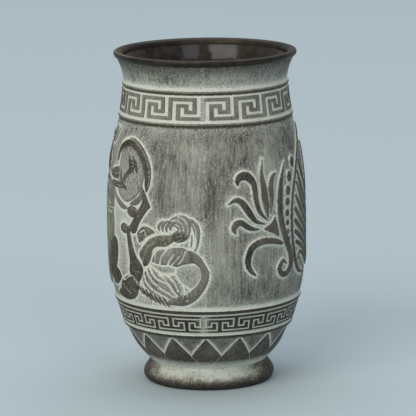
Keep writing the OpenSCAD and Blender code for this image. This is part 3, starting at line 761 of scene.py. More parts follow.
# Palmette on the right, the same on both sides of its own axis
palmette = {
    "axis": 90,
    "out": 1.7,
    "heartOut": 1.4,
    "stem": [(55, 191.5, 0.7), (51, 180, 2.2), (49, 167.5, 3.3), (48.5, 153, 3.4), (50, 140.5, 3.3),
         (53.5, 127.5, 3.6), (57.5, 115, 3.5), (58, 105.5, 3.4), (54.5, 99.5, 3.1), (50, 99.5, 2.7),
         (47.6, 105, 2.6), (50.5, 110.4, 2), (54, 107.5, 0.8)],
    "hook": [(39, 146.5, 0.6), (33.5, 154.5, 2.1), (31, 165.5, 2.5), (30.2, 177, 2.8), (27.6, 183, 3.5),
         (24.6, 185.4, 3.7), (21.4, 184.6, 3.2), (19.8, 181, 2.1), (20, 178, 0.8)],
    "tall": [(37, 197, 0.5), (35.6, 186, 2), (36.4, 175, 3.2), (37, 167, 3.6), (38, 158, 2.9),
         (39, 149, 0.7)],
    "inner": [(46.4, 184.6, 0.7), (43.4, 182, 2.3), (41.8, 174, 2.8), (42, 163, 2.2), (41, 152, 0.6)],
    "low": [
        [(14, 163, 0.6), (18, 166, 2.1), (21.5, 164.4, 2.8), (24.4, 159.4, 3.1), (27.6, 152.6, 2.8),
         (31, 147, 1.9), (37, 144, 0.5)],
        [(18, 138.5, 0.8), (17, 142.5, 2.4), (18.6, 146.4, 3), (21.6, 147, 2.7), (25, 143.6, 2.5),
         (29, 141, 1.8), (33, 140.4, 0.5)],
    ],
    "wedge": [(44.5, 149.3), (41, 144.6), (35.8, 140.3), (39.2, 137.3), (43.6, 134.4), (47.3, 131.8),
         (46.5, 140.3)],
    "sickle": [(49.4, 125.6, 1.8), (45, 128, 2.6), (39, 129.6, 2.9), (33, 129.2, 3.1), (28, 125.4, 3.1),
         (25.5, 117, 3), (25.8, 110, 2.6), (28, 105, 1.9), (30.5, 102, 0.8)],
    # each bead as turn, height, half width and half height
    "beads": [(63.5, 190.8, 2.9, 4.9), (58.7, 179.4, 3.2, 4.8), (56.4, 168.3, 3.3, 4.4),
         (55.4, 159, 3.1, 3.8), (54.9, 149.9, 2.8, 3.4), (54.9, 141.8, 2.4, 2.9), (55.3, 134.3, 1.9, 2.6),
         (56.4, 128, 1.4, 2.2)],
    "heart": [(90, 218, 0.9), (82, 210, 1.2), (74.4, 198, 1.5), (69.5, 188, 1.7), (63, 170, 2), (60, 153, 2),
         (59.5, 136, 2), (61, 121, 2.2), (64, 107, 2.6), (68.5, 98.6, 2.4), (75, 95, 1.2)],
    "petals": [
        [(88, 152, 0.8), (81, 170, 2.1), (75.6, 183, 2.5), (72.8, 191.5, 0.8)],
        [(88, 141, 0.8), (80.5, 156, 2.1), (74, 168, 2.6), (69.6, 181.5, 1.2)],
        [(88, 132, 0.8), (80.5, 146, 2.2), (73, 159, 2.7), (67.6, 172.5, 1.5)],
        [(88, 124, 0.8), (80.5, 137, 2.2), (72, 150, 2.8), (65.6, 161.6, 1.9)],
        [(88, 117, 0.8), (80.5, 130, 2.2), (71.6, 140.8, 2.9), (64.2, 151, 2.3)],
        [(88, 111, 0.8), (80.5, 122.6, 2.1), (71.4, 132.6, 2.8), (63.9, 141.2, 2.4)],
        [(88, 106, 0.8), (80.5, 115.6, 2.1), (71, 126, 2.6), (63.9, 132, 2.2)],
        [(88, 101.6, 0.8), (80.5, 109.6, 1.8), (71.4, 118.6, 2.4), (65, 123, 2)],
        [(87, 98, 0.8), (80.6, 103.6, 1.5), (74, 111.6, 1.9), (68.4, 112.8, 1.7), (67.6, 107.6, 0.9)],
    ],
    "middle": [(90, 160, 0.8), (90, 176, 2.5), (90, 190, 3.1), (90, 202, 0.8)],
    "drop": [(90, 99, 1.2), (90, 106, 2.6), (90, 113, 1)],
}


def mirrorTurn(path):
    return [(2 * palmette["axis"] - q[0],) + tuple(q[1:]) for q in path]


def bothSides(name, node, paths, **more):
    for word, sided in (("left", paths), ("right", [mirrorTurn(p) for p in paths])):
        raiseSprig(f"{name}_{word}", f"{node}_{word}", sided, lift=palmette["out"], **flatTop, **more)


def beadDisc(turnDeg, z, wide, tall):
    angles = np.radians(np.arange(0, 360, 30))
    return [(turnDeg + wide * math.cos(a) / mmPerDegree(z), z + tall * math.sin(a)) for a in angles]


bothSides("stem_scroll", "palmette_stem", [palmette["stem"]])
bothSides("hook_leaf", "palmette_hook_leaf", [palmette["hook"]])
bothSides("tall_leaf", "palmette_tall_leaf", [palmette["tall"]])
bothSides("inner_leaf", "palmette_inner_leaf", [palmette["inner"]])
bothSides("low_leaves", "palmette_low_leaves", palmette["low"])
bothSides("calyx_wedge", "palmette_wedge", [palmette["wedge"]], smooth=3)
bothSides("sickle", "palmette_sickle", [palmette["sickle"]])
bothSides("bead_row", "palmette_beads", [beadDisc(*bead) for bead in palmette["beads"]], smooth=2)
petals = palmette["petals"] + [mirrorTurn(p) for p in palmette["petals"]]
petals += [palmette["middle"], palmette["drop"]]
heartFrame = [palmette["heart"], mirrorTurn(palmette["heart"])]
raiseSprig("heart_frame", "palmette_heart_frame", heartFrame, lift=palmette["heartOut"], **flatTop)
raiseSprig("heart_fan", "palmette_heart_fan", petals, lift=palmette["heartOut"], **flatTop)
print("palmette pressed")

# Warrior with a round shield, and the cloaked figure crouching under it
figure = {"lift": 1.8525, "edge": 0.55, "roundness": 0.7, "foldWide": 1.3, "material": figureClay,
          "hollowGain": 0.15, "lowGain": 0.25}


def figureSprig(name, node, shapes, **more):
    raiseSprig(name, node, shapes, **{**figure, **more})


figureSprig("shield_rim_crescent", "shield_rim", [
    [(-35.6, 171.5, 0.7), (-35.2, 177, 2.7), (-35, 184, 3.5), (-36.1, 192, 3.9), (-39.5, 200, 4),
     (-44.5, 206.2, 3.9), (-50.5, 209.6, 3.6), (-56.5, 208.6, 3.1), (-61, 205.4, 2.5), (-64, 199.5, 1.9),
     (-64.6, 193, 1.0)]
], roundness=0.35, folds=[
    ([(-34.4, 175), (-33.6, 184), (-34.8, 193.4), (-38.6, 202.2), (-44.2, 208.8), (-50.8, 212.2),
      (-57.4, 211), (-62.4, 207)], 0.45, -0.9)
])
figureSprig("shield_disc", "shield_face", [
    [(-62.5, 189.6), (-61.9, 198.4), (-59.5, 203.7), (-54.2, 206.8), (-48, 205.8), (-43.6, 201.9),
     (-40.1, 196.4), (-38.3, 190.6), (-37.7, 184.5), (-38.3, 177.6), (-40.6, 170.3), (-44.5, 164.8),
     (-48.8, 161.2), (-53.1, 160.2), (-58.5, 163.2), (-61.9, 168.6), (-63.2, 179)]
], lift=0.45, edge=0.4, material=foldClay, slot="grey_clay", base=0.32, lowGain=0, step=0.6)
figureSprig("shield_winged_beast", "shield_beast", [
    [(-52.6, 200.6, 0.5), (-51.8, 197.8, 1.2), (-50.6, 195.5, 2.1)],
    [(-51, 195.8, 1.7), (-49.4, 193, 3.3), (-48.2, 189.6, 3.6), (-49.4, 186, 2.7)],
    [(-48, 198, 1.1), (-45.9, 194.2, 1.9), (-44.3, 189.8, 2), (-43.6, 185, 0.8)],
    [(-49.6, 187.6, 2.4), (-52.2, 183.5, 2.5), (-54.8, 179.6, 2.4), (-53.6, 176.6, 1)],
    [(-59, 186, 0.8), (-58.8, 181.2, 2.1), (-57, 176, 2.5), (-53.6, 171.6, 1.7), (-51, 170.2, 0.6)]
], lift=1.7, edge=0.4, step=0.45, foldWide=1, gain=0.7, folds=[
    ([(-50.6, 193.6), (-47, 193.2)], 0.45, -0.9), ([(-50, 190.4), (-46.6, 190.6)], 0.45, -0.9),
    ([(-49.8, 196.2), (-48.2, 190)], 0.4, -0.6), ([(-52.6, 181.6), (-51, 184.6)], 0.4, -0.6)
])
figureSprig("shield_side_crescents", "shield_crescents", [
    [(-38.8, 175, 0.6), (-39, 170.4, 1.7), (-40.4, 165.4, 2.5), (-43.6, 161.8, 2.7), (-48.4, 159.2, 1)],
    [(-66, 167.4, 0.6), (-64.2, 163, 1.8), (-60.4, 159, 2.7), (-56, 156.2, 2.6), (-51.6, 155.4, 1.1)],
    beadDisc(-51, 161.7, 1.5, 1.2)
], lift=1.5, edge=0.45, material=backClay)
figureSprig("hair_knot_coils", "hair_knot", [
    beadDisc(-46.4, 153.3, 6.6, 4.9)
], roundness=0.4, step=0.4, foldWide=0.9, gain=0.85, folds=[
    ([(-50, 155), (-46.6, 157), (-42.8, 155), (-42.6, 151.4)], 0.42, -0.8),
    ([(-49.6, 152.4), (-46.8, 155), (-44.4, 153.8), (-44.2, 151.2)], 0.42, -0.8),
    ([(-48.6, 150.8), (-47.2, 152.8), (-45.8, 152)], 0.4, -0.8)
])
figureSprig("warrior_arm_and_fist", "warrior_arm", [
    [(-38, 173.4), (-36.4, 170.4), (-35, 166.9), (-33.2, 161.8), (-32.4, 158.7), (-33.6, 157.4),
     (-35.4, 154.6), (-37.2, 151.4), (-40.6, 144.6), (-42.5, 138.6), (-44.4, 135.4), (-47, 135.2),
     (-49.4, 138.2), (-48.9, 141.4), (-47.2, 144.6), (-43.4, 152.6), (-40.4, 158.4), (-39, 162),
     (-38.4, 167)],
    beadDisc(-54, 138, 5.8, 4.4),
    [(-51.6, 139.2, 1.8), (-48.6, 138.4, 2.2)]
], roundness=0.6, step=0.45, folds=[
    ([(-37.4, 168), (-36.2, 162), (-37.8, 156.6), (-41.2, 149.6)], 0.5, -0.35),
    ([(-47.6, 136.4), (-44.8, 137.6)], 0.4, -0.8), ([(-47.9, 138.2), (-45, 139.4)], 0.4, -0.7),
    ([(-47.4, 140), (-45, 141)], 0.4, -0.6), ([(-54.8, 140.6), (-52.6, 137.4)], 0.45, -0.6),
    ([(-51.3, 141.6), (-50.8, 135.6)], 0.45, -0.9)
])
figureSprig("warrior_leg_and_knee", "warrior_leg", [
    [(-49.7, 140.7), (-48.7, 136.4), (-47.9, 132.7), (-46.1, 124.7), (-43.7, 116.8), (-40.4, 111.4),
     (-38.4, 106.2), (-39.4, 100.4), (-41.9, 95.2), (-46, 94.2), (-48.8, 99), (-50.4, 103.4), (-49.6, 110.4),
     (-50.3, 119.5), (-51.5, 129.4), (-52.3, 136.8), (-51.4, 140.2)],
    [(-49.8, 99.6), (-54.6, 96.6), (-59.3, 92.6), (-61.6, 86.6), (-66.2, 82.2), (-66.8, 78.8), (-59.5, 76.9),
     (-52.3, 77.2), (-46.7, 80.6), (-43.4, 86.8), (-41.8, 94.6), (-44.6, 98.6)],
    ([(-72.6, 101.4), (-67.4, 102.4), (-62.2, 101), (-59.2, 95.6), (-62.6, 90.6), (-66.4, 87.4),
      (-71.6, 87.6), (-75.4, 94)], 1.5)
], roundness=0.7, folds=[
    ([(-47.4, 131), (-45.6, 124.6), (-43.8, 118.6)], 0.5, -0.8),
    ([(-49.4, 128), (-48.6, 119), (-47.4, 110)], 0.6, -0.35),
    ([(-58.1, 95.4), (-55.1, 94.3), (-50.6, 98.3), (-47, 99.1), (-44.7, 96.8), (-42.4, 92.6)], 0.5, -1.6),
    ([(-52.6, 94.8), (-49.4, 89.6), (-45.6, 86)], 0.5, -0.8),
    ([(-57.6, 91), (-53, 86.4), (-49.6, 84)], 0.5, -1.4),
    ([(-60.6, 87), (-57, 81.6), (-55.6, 78.4)], 0.5, -0.7),
    ([(-47.6, 105.6), (-43.6, 103.4), (-40.8, 104.6)], 0.5, -0.5), ([(-66, 99), (-63.4, 93.4)], 0.5, -0.7),
    ([(-71, 98), (-68.4, 91)], 0.5, -0.7)
])
figureSprig("warrior_drapery", "warrior_torso", [
    [(-80, 84), (-95, 86), (-100, 98), (-102, 112), (-99, 124), (-97, 136), (-98, 148), (-103, 158),
     (-107, 168), (-105, 177), (-92, 179), (-79, 177.5), (-70, 173), (-66, 168), (-66.5, 158), (-67, 148),
     (-66.5, 136), (-68, 124), (-70, 112), (-73, 100), (-76, 90)]
], roundness=0.5, step=0.7, material=lineClay, hollowGain=0.5, lowGain=0.4, folds=[
    ([(-103, 172), (-90, 160), (-72, 154)], 1.1, -0.7), ([(-100, 158), (-88, 150), (-70, 148)], 0.9, -0.8),
    ([(-96, 148), (-90, 132), (-84, 110), (-82, 88)], 0.9, -0.9),
    ([(-92, 148), (-84, 130), (-78, 108), (-77, 92)], 0.9, -0.9),
    ([(-98, 136), (-96, 118), (-92, 100), (-90, 88)], 0.9, -0.9),
    ([(-86, 148), (-77, 134), (-72, 116)], 0.9, -0.8), ([(-100, 118), (-98, 104)], 0.8, -0.7),
    ([(-104, 166), (-94, 168), (-84, 172), (-74, 168)], 0.9, -0.6),
    ([(-98, 152), (-80, 151), (-67, 152)], 0.7, -0.9)
])
figureSprig("drapery_end", None, [
    [(-80, 128), (-70, 128.6), (-64, 127), (-62, 120), (-62.6, 112), (-67, 99.6), (-80, 89.6), (-87, 100),
     (-86, 118)]
], step=0.6, folds=[
    ([(-74, 127), (-71, 112), (-74, 98)], 0.6, -1.4)
])
figureSprig("shield_hand", None, [
    [(-73, 184), (-66, 187), (-61.9, 187.2), (-61.4, 182), (-63.4, 177.6), (-69.2, 176.8), (-73.6, 178)],
    [(-71, 175.6), (-66.2, 175.4), (-60.6, 176), (-52, 173.7), (-53.2, 170.8), (-60.1, 170), (-67.6, 170.1),
     (-71.6, 171.5)]
], lift=1.9, step=0.45, gain=0.9, folds=[
    ([(-72, 181.6), (-66, 182), (-62, 182.6)], 0.4, -1.2),
    ([(-71, 172.8), (-64, 173), (-56, 172.6)], 0.4, -1.2)
])
figureSprig("helmet_and_crest", "warrior_helmet", [
    [(-82, 205, 0.8), (-88, 211, 2.2), (-97, 211, 2.6), (-105, 204, 2.4), (-109, 193, 1.8), (-110, 183, 0.7)],
    [(-83.4, 194), (-82.6, 192), (-80.6, 189.6), (-82.2, 188.6), (-82, 187), (-82.6, 185.8), (-82.4, 183.6),
     (-84.4, 181.8), (-87.4, 181.6), (-88.6, 177.4), (-97, 177.4), (-98.6, 183), (-101.6, 188), (-102.2, 195),
     (-99, 201), (-93, 204.4), (-87, 202.4), (-83.6, 198.4)]
], roundness=0.55, edge=0.5, step=0.45, folds=[
    ([(-83.2, 194.4), (-88, 192.6), (-90.4, 186), (-88.2, 182.2)], 0.4, -0.8),
    ([(-90.4, 191), (-96, 189.6), (-101, 190.4)], 0.4, -0.6), ([(-84.9, 190.6), (-86.9, 190.6)], 0.4, -0.55),
    ([(-82.6, 186.5), (-85, 186.3)], 0.3, -0.4),
    ([(-84, 209.4), (-94, 207), (-101, 202), (-106.4, 192)], 0.45, -0.8),
    ([(-87, 204.4), (-95, 203.6), (-100, 199.6)], 0.4, -0.7)
])
figureSprig("crest_plumes", None, [
    [(-70.5, 218.4, 0.5), (-72.4, 214, 0.9), (-74.6, 209.4, 0.9), (-77, 205, 0.6)],
    [(-74, 219, 0.5), (-76, 214.6, 0.9), (-78.4, 210, 0.9), (-81, 205.6, 0.6)],
    [(-77.6, 219, 0.5), (-79.8, 214.8, 0.9), (-82.4, 210.4, 0.9), (-85, 206.4, 0.6)]
], lift=1.2, edge=0.35)
figureSprig("spear_shaft", "warrior_spear", [
    [(-128, 205, 0.5), (-125.6, 197, 2.0), (-123.6, 190, 0.9), (-118, 165, 1), (-112, 135, 1), (-107, 108, 1),
     (-104, 90, 0.8)]
], lift=1.2)
figureSprig("rock_under_foot", "ground_rock", [
    [(-150, 78.5), (-148, 84), (-141, 89), (-137, 92.6), (-131, 94), (-126, 98.4), (-116, 99.4), (-110, 97),
     (-106, 90), (-105, 80), (-118, 77.6), (-136, 77.6)]
], lift=1.4, roundness=0.7, material=backClay, step=0.7, folds=[
    ([(-144, 80), (-138, 86), (-132, 88)], 0.8, -0.6), ([(-128, 94), (-122, 88), (-120, 80)], 0.8, -0.6),
    ([(-116, 97), (-111, 90), (-110, 82)], 0.8, -0.6)
])
print("warrior pressed")

cloak = {"lift": 1.9, "edge": 0.8, "roundness": 0.6, "foldWide": 1.7, "material": foldClay,
         "hollowGain": 0.3, "lowGain": 0.55}


def cloakSprig(name, node, shapes, **more):
    raiseSprig(name, node, shapes, **{**cloak, **more})


cloakSprig("crouching_arm_and_shoulder", "crouching_limb", [
    [(-37.7, 108.6), (-39.6, 113.6), (-41.2, 118.6), (-39.7, 123), (-36.6, 128), (-32.9, 133), (-28.2, 136),
     (-24, 137.2), (-20.1, 137.6), (-17.4, 138.4), (-16.4, 136.2), (-17.1, 132.8), (-20.2, 129.3),
     (-23.6, 127.2), (-28.3, 126.8), (-30.6, 124.2), (-31.8, 119), (-33.3, 113.6), (-35.6, 109.6)],
    ([(-42.8, 134.8), (-40.9, 139.2), (-37.7, 142.8), (-33.7, 142.4), (-29.4, 138.8), (-32, 136.4),
      (-35.9, 133.4), (-39.2, 129), (-41.6, 128.8)], 1.3)
], material=limbClay, slot="grey_clay", hollowGain=0.2, lowGain=0.6, folds=[
    ([(-38.6, 113), (-36.2, 119.4), (-34.6, 126), (-29.6, 130.2)], 0.7, -0.4),
    ([(-24, 136), (-22.4, 130)], 0.6, -0.3), ([(-39.6, 137.6), (-36.6, 139.4), (-36, 135.6)], 0.5, -0.7)
])
cloakSprig("cloak_bunch_folds", "cloak_bunch", [
    [(-20.4, 148.6), (-18, 152.4), (-14.8, 154.4), (-11.7, 154.3), (-9.2, 152.6), (-7.4, 149.4),
     (-7.2, 144.6), (-7.7, 139.4), (-8.6, 135.8), (-9.8, 134), (-12, 132.3), (-15.8, 131.2), (-17.6, 134.2),
     (-17.8, 138.2), (-17, 140.8), (-15.4, 142.2), (-16.2, 144), (-19.4, 145)]
], folds=[
    ([(-18.4, 149.6), (-15, 150.6), (-12.4, 147), (-11.6, 142.4)], 0.6, -0.7),
    ([(-15, 153.2), (-11.6, 151.2), (-9.6, 146.4), (-9.4, 140)], 0.6, -0.7),
    ([(-16.2, 146.8), (-14, 145), (-13.6, 141.6)], 0.5, -0.7),
    ([(-17, 136.6), (-14, 138.6), (-11, 138)], 0.5, -0.8),
    ([(-16.4, 133.6), (-13.2, 135.8), (-10.4, 135.6)], 0.5, -0.6),
    ([(-14.4, 142.6), (-12.6, 139.8)], 0.4, -0.6)
])
cloakSprig("gripping_hand", None, [
    [(-19.4, 135.6), (-17.6, 139.6), (-14.6, 141.8), (-11.4, 141.2), (-8.9, 139), (-8.9, 136), (-11.6, 132.5),
     (-15.3, 131.8), (-18.2, 132.8)]
], material=figureClay, edge=0.5, hollowGain=0.2, lowGain=0.3, step=0.45, foldWide=1, folds=[
    ([(-16.8, 141), (-15, 136.4)], 0.35, -0.9), ([(-13.8, 141.6), (-12.4, 136.6)], 0.35, -0.9),
    ([(-11, 141), (-10.4, 136.4)], 0.35, -0.9)
])
cloakSprig("cloak_edge_curls", "cloak_curls", [
    [(-26.4, 140.6, 0.7), (-26.9, 143.6, 1.5), (-25.4, 147, 1.3), (-23.6, 148.6, 0.7)],
    [(-24.2, 140.2, 0.7), (-24.5, 143.4, 1.5), (-23, 147, 1.4), (-20.8, 149, 0.7)],
    [(-21.8, 140, 0.7), (-22, 143.2, 1.5), (-20.6, 146.8, 1.4), (-18.8, 149.2, 0.7)],
    [(-19.4, 141.6, 0.7), (-19.6, 144, 1.4), (-18.2, 147, 1.3), (-16.8, 149.4, 0.7)]
], lift=1.6, edge=0.55, roundness=0.4)
cloakSprig("cloak_hanging_tail", "cloak_tail", [
    [(-8.6, 150.6, 1.6), (-6.4, 148.4, 2.2), (-4.6, 144.6, 2.9), (-3.9, 139.4, 2.6), (-3.8, 134, 1.9),
     (-4.3, 129, 1.4), (-5.2, 124.6, 0.7)],
    ([(-6.9, 137.6, 0.5), (-7.1, 133, 0.8), (-7.6, 128, 0.5)], 1.0)
], folds=[
    ([(-6.6, 148), (-5, 143.6), (-4.6, 136), (-4.9, 128)], 0.55, -0.6)
])
cloakSprig("cloak_round_back", "cloak_back", [
    [(-9.4, 125.2), (-5.2, 123.4), (-2.4, 120.1), (0.2, 114.5), (2.3, 108.7), (2.8, 105), (1.9, 98.5),
     (-0.4, 91.7), (-4, 84.9), (-7.6, 80.8), (-12.5, 77.9), (-17.4, 77.8), (-23.6, 78.2), (-22.6, 81.4),
     (-17.6, 84.6), (-12.8, 86.6), (-9.2, 90), (-6.4, 93.4), (-4, 97), (-2.4, 101.4), (-2, 106), (-3, 110.8),
     (-5.4, 114), (-8.2, 115.2), (-9.6, 119.6)]
], material=backClay, hollowGain=0.15, lowGain=0.3, folds=[
    ([(-1.4, 117), (0.4, 109), (-0.6, 101), (-3.4, 93.6)], 0.7, -0.25),
    ([(-14, 97), (-13.4, 89.6), (-12.6, 84.6)], 0.6, -0.8),
    ([(-11, 94), (-10.4, 88), (-10.8, 82.6)], 0.6, -0.7), ([(-8.6, 92), (-8, 86.6)], 0.5, -0.5),
    ([(-19.6, 83), (-14, 81.4), (-8.4, 84.4)], 0.6, -0.4)
])
cloakSprig("cloak_inner_lobe", None, [
    [(-16.2, 108.6), (-14, 111.2), (-11.4, 112.8), (-8, 113.6), (-4.9, 112.6), (-2.6, 109.4), (-2.1, 105.2),
     (-3.1, 100.2), (-5.2, 96), (-8, 93.6), (-10.6, 95.4), (-13.4, 98.4), (-15.4, 102), (-16.6, 105.6)]
], lift=1.2, roundness=0.8, base=0.35)
cloakSprig("cloak_sweeping_pleats", "cloak_folds", [
    [(-31.9, 113.4), (-31.4, 117), (-29.8, 120.5), (-26.4, 124.6), (-22, 125.3), (-18.8, 127), (-15, 127.6),
     (-11.4, 127), (-8.4, 124), (-7.2, 119.4), (-7.4, 114.6), (-10, 113.6), (-13, 112.6), (-16.2, 110.8),
     (-19.8, 112.2), (-24.1, 111.9), (-27.6, 112.2)]
], folds=[
    ([(-22.1, 124.6), (-25.2, 119.3), (-26.6, 112.8)], 0.6, -0.9),
    ([(-17.6, 121.4), (-20.2, 116.4), (-21.6, 112)], 0.6, -0.8),
    ([(-14.1, 120.4), (-16.8, 116), (-19.2, 112.6)], 0.5, -0.6), ([(-29.4, 119.4), (-29.8, 114)], 0.6, -0.5),
    ([(-10.6, 124.6), (-12.2, 119), (-14.6, 114.4)], 0.6, -0.6)
])
# pale skirt whose fold grooves are darkened as painted shade
cloakSprig("cloak_draped_skirt", None, [
    [(-35.4, 107.4), (-33.2, 109.4), (-29.8, 107), (-26.4, 104.6), (-22.6, 103.4), (-19, 104.6), (-16.8, 104),
     (-15.4, 100.6), (-13.4, 97), (-12.4, 92), (-12.4, 86.6), (-15.2, 83.6), (-18.8, 79.6), (-23.8, 82.6),
     (-29, 84.8), (-33.8, 87.4), (-38, 92), (-39.6, 97.6), (-38.4, 103)]
], lift=1.6, base=0.4, hollowGain=0, bareFolds=1.0, folds=[
    ([(-35.8, 106.9), (-32.4, 98.8), (-26.7, 92.4), (-21.2, 88.5), (-15.2, 83.9)], 0.6, -0.95),
    ([(-33.6, 109), (-29.6, 101.4), (-25.1, 98.3), (-20.8, 95.2), (-18, 88.9), (-14, 85)], 0.6, -0.95),
    ([(-26.8, 104), (-22.6, 98.8), (-19.7, 93), (-16.9, 87.2)], 0.6, -0.8),
    ([(-37.5, 101.6), (-36.1, 95.8), (-31.6, 90), (-24.6, 85.2), (-18.6, 80.4)], 0.6, -0.95),
    ([(-21, 103), (-17.6, 98), (-15.6, 91)], 0.5, -0.7)
])
hemTwists = []
for i in range(7):
    a, z = -41.2 + 2.9 * i, 89.2 - 2.3 * i + 0.14 * i * i
    twist = [(-2, 4.2, 0.6), (-0.7, 1.4, 1.4), (0.8, -1.8, 1.4), (2, -4.4, 0.6)]
    hemTwists.append([(a + across, z + up, half) for across, up, half in twist])
hemThreads = [([(-44.6 + 1.25 * i, 83.6 - 0.25 * i, 0.3), (-44.2 + 1.2 * i, 76.6, 0.4)], 0.7)
              for i in range(9)]
cloakSprig("cloak_twisted_hem", "cloak_hem", hemTwists + hemThreads, lift=1.6, edge=0.45, roundness=0.3,
           material=bareClay, slot="grey_clay", step=0.45)
print("cloaked figure pressed")


def rounded(profile, steps=4):
    return [tuple(p) for p in smoothCurve(profile, steps)]


lip = {
    "profile": [(73.9, 274.5), (75.3, 275.3), (76, 276.4), (76.3, 277.7), (76, 278.9), (75.2, 279.6),
                (73.6, 279.9), (71.6, 279.7), (69.8, 278.6), (68.8, 277), (68.3, 274.5)],
    "thinFrom": 279.2,  # the glaze runs thin above this height
    "thinRadius": 74.6,
}
lipRoll = turn("glazed_lip_roll", rounded(lip["profile"]), 360)
lipX, lipY, lipZ = getCo(lipRoll.data).T / mm
onCrest = np.exp(-((np.hypot(lipX, lipY) - lip["thinRadius"]) / 1.3) ** 2) * (lipZ > lip["thinFrom"])
# on the left the copper is painted light on the lit side, and at the back a painted reflection
sheenSides = np.maximum(smoothstep(lipY, 10, 50), smoothstep(-lipX, 35, 70))
setAttribute(lipRoll, "thin", 0.75 * onCrest * sheenSides)
finish(lipRoll, lipGlaze, "dark_glaze", "rim_lip")

lining = {
    "thick": 0.4,
    "floor": [(0, 11), (31, 11), (36, 13), (40, 17.5), (44.5, 22)],
    "top": (68.3, 274.5),
}
floorLine = rounded(lining["floor"], 6)
rise = [(wallRadius(z) - vase["wallThick"], z) for z in np.arange(25, vase["wallTop"], 2.5)] + [lining["top"]]
innerLine = [(max(0, x), z) for x, z in floorLine + rise]
skin = [(max(0, x - lining["thick"]), z + lining["thick"] * (z < 20)) for x, z in innerLine]
liningSkin = turn("inside_glaze", innerLine + skin[::-1], 256)
setAttribute(liningSkin, "thin", np.zeros(len(liningSkin.data.vertices)))
finish(liningSkin, insideGlaze, "dark_glaze", "glaze_lining")

foot = {
    "profile": [(49, 0), (51.2, 0.3), (52.9, 1.2), (54.5, 3), (55.2, 5.6), (54.9, 7.6), (54, 9.8),
                (52.2, 12.4), (50.2, 15.4), (49.2, 18)],
    "bore": [(43, 18), (43, 0.6), (43.6, 0)],
}
footRing = turn("foot_ring_roll", rounded(foot["profile"], 3) + foot["bore"], 360)
footCo = getCo(footRing.data)
footTurn = turnDegrees(footCo)
# the foot is darkened on both sides as painted shade where its round turns away from the front, less so at
# the back
shadedSides = smoothstep(abs(footTurn + 4), 30, 80) * (1 - 0.6 * smoothstep(abs(footTurn), 100, 165))
setAttribute(footRing, "wash", smoothstep(footCo[:, 2] / mm, 3, 13) * (1 - 0.75 * shadedSides))
finish(footRing, footFinish, "washed_foot", "foot_ring")
print("lip, lining and foot turned")

# The relief where it meets the wall; under a moulding the wall is kept dark as painted shadow, so only its
# upper edge counts
upperEdges = [getCo(o.data)[getCo(o.data)[:, 2] / mm > z] for o, z in mouldings]
reliefPoints = np.vstack([getCo(o.data) for o in allRelief] + upperEdges)
standing = outHeight(reliefPoints)
reliefPoints = reliefPoints[(standing > -0.15) & (standing < 0.7)]
reliefTree = kdtree.KDTree(len(reliefPoints))
for i, p in enumerate(reliefPoints):
    reliefTree.insert(p, i)
reliefTree.balance()
print("relief points", len(reliefPoints))

washRules = {
    "lineMm": 1.5,  # bright line of wash that lies against the relief
    "haloMm": 5.0,  # softer wash around it
    "lines": 0.85,
    "halo": 0.42,
    "seam": 0.14,
    "scene": 0.4,  # the ground between the warrior's arm, leg and drapery was left pale
}


def rings(z, bands):
    # bands of more wash, of barer clay and of painted shadow round the wall, as (height, spread, amount)
    total = np.zeros(len(z))
    for centre, width, amount in bands:
        total += amount * np.exp(-((z - centre) / width) ** 2)
    return total


def washOnWall(obj, base, fades, wipedAndShaded):
    co = getCo(obj.data)
    z = co[:, 2] / mm
    away = np.full(len(co), 99.0)
    for i in np.nonzero(outHeight(co) > -0.5)[0]:
        away[i] = reliefTree.find(co[i])[2] / mm
    wash = washRules["lines"] * np.exp(-(away / washRules["lineMm"]) ** 2)
    wash += washRules["halo"] * np.exp(-away / washRules["haloMm"]) + base + rings(z, fades)
    turnDeg = turnDegrees(co)
    seam = np.minimum(abs(turnDeg), 180 - abs(turnDeg)) * mmPerDegree(z)
    wash += washRules["seam"] * np.exp(-(seam / 2) ** 2)
    sceneGround = smoothstep(turnDeg, -78, -68) * smoothstep(-turnDeg, 42, 52)
    wash += washRules["scene"] * sceneGround * smoothstep(z, 92, 108) * smoothstep(-z, -176, -158)
    setAttribute(obj, "wash", np.clip(wash, 0, 1))
    setAttribute(obj, "bare", rings(z, wipedAndShaded))


def turnWall(name, nodes, low, high, step, base=0.0, fades=(), wipedAndShaded=()):
    rows = np.linspace(low, high, max(2, int(round((high - low) / step)) + 1))
    inside = np.linspace(high, low, 6)
    profile = [(wallRadius(z), z) for z in rows] + [(wallRadius(z) - vase["wallThick"], z) for z in inside]
    obj = turn(name, profile)
    washOnWall(obj, base, fades, wipedAndShaded)
    finish(obj, groundClay, "grey_clay", *nodes)


# The wall in the bands that the cords and ribs mark off, darkened with painted shadow under the upper cord
# and the lower one, and darker towards the lip as speckled clay and painted shadow under the lip
middle = 150
# heights of the painted shadow lines under the two cords
underTop, underLow = cordTop - 1.8, cordLow - 1.8
turnWall("neck_flare", ["neck_wall"], cordTop, vase["wallTop"], 1, 0.12, [(254, 4.5, 0.35)], [(275, 8, 0.9)])
turnWall("neck_key_ground", ["neck_key_wall"], cordLow, cordTop, 0.6, 0.6, [(underTop, 0.8, -1)],
         [(underTop, 0.9, 1.2)])
turnWall("shoulder", ["shoulder_wall", "belly_wall_upper"], middle, cordLow, 0.7, 0.0,
         [(cordLow - 6, 6, 0.12), (underLow, 0.8, -1)], [(underLow, 1, 1.2)])
turnWall("belly", ["belly_wall_middle", "belly_wall_lower"], ribTop, middle, 1, 0.0, [(ribTop + 2, 3, 0.5)])
turnWall("base_key_ground", ["base_key_wall"], ribLow, ribTop, 0.6, 0.95)
turnWall("base_cone", ["base_wall_upper", "base_wall_lower"], vase["wallFoot"], ribLow, 0.8, 0.0,
         [(18, 6, 0.85)], [(42, 14, 0.6)])
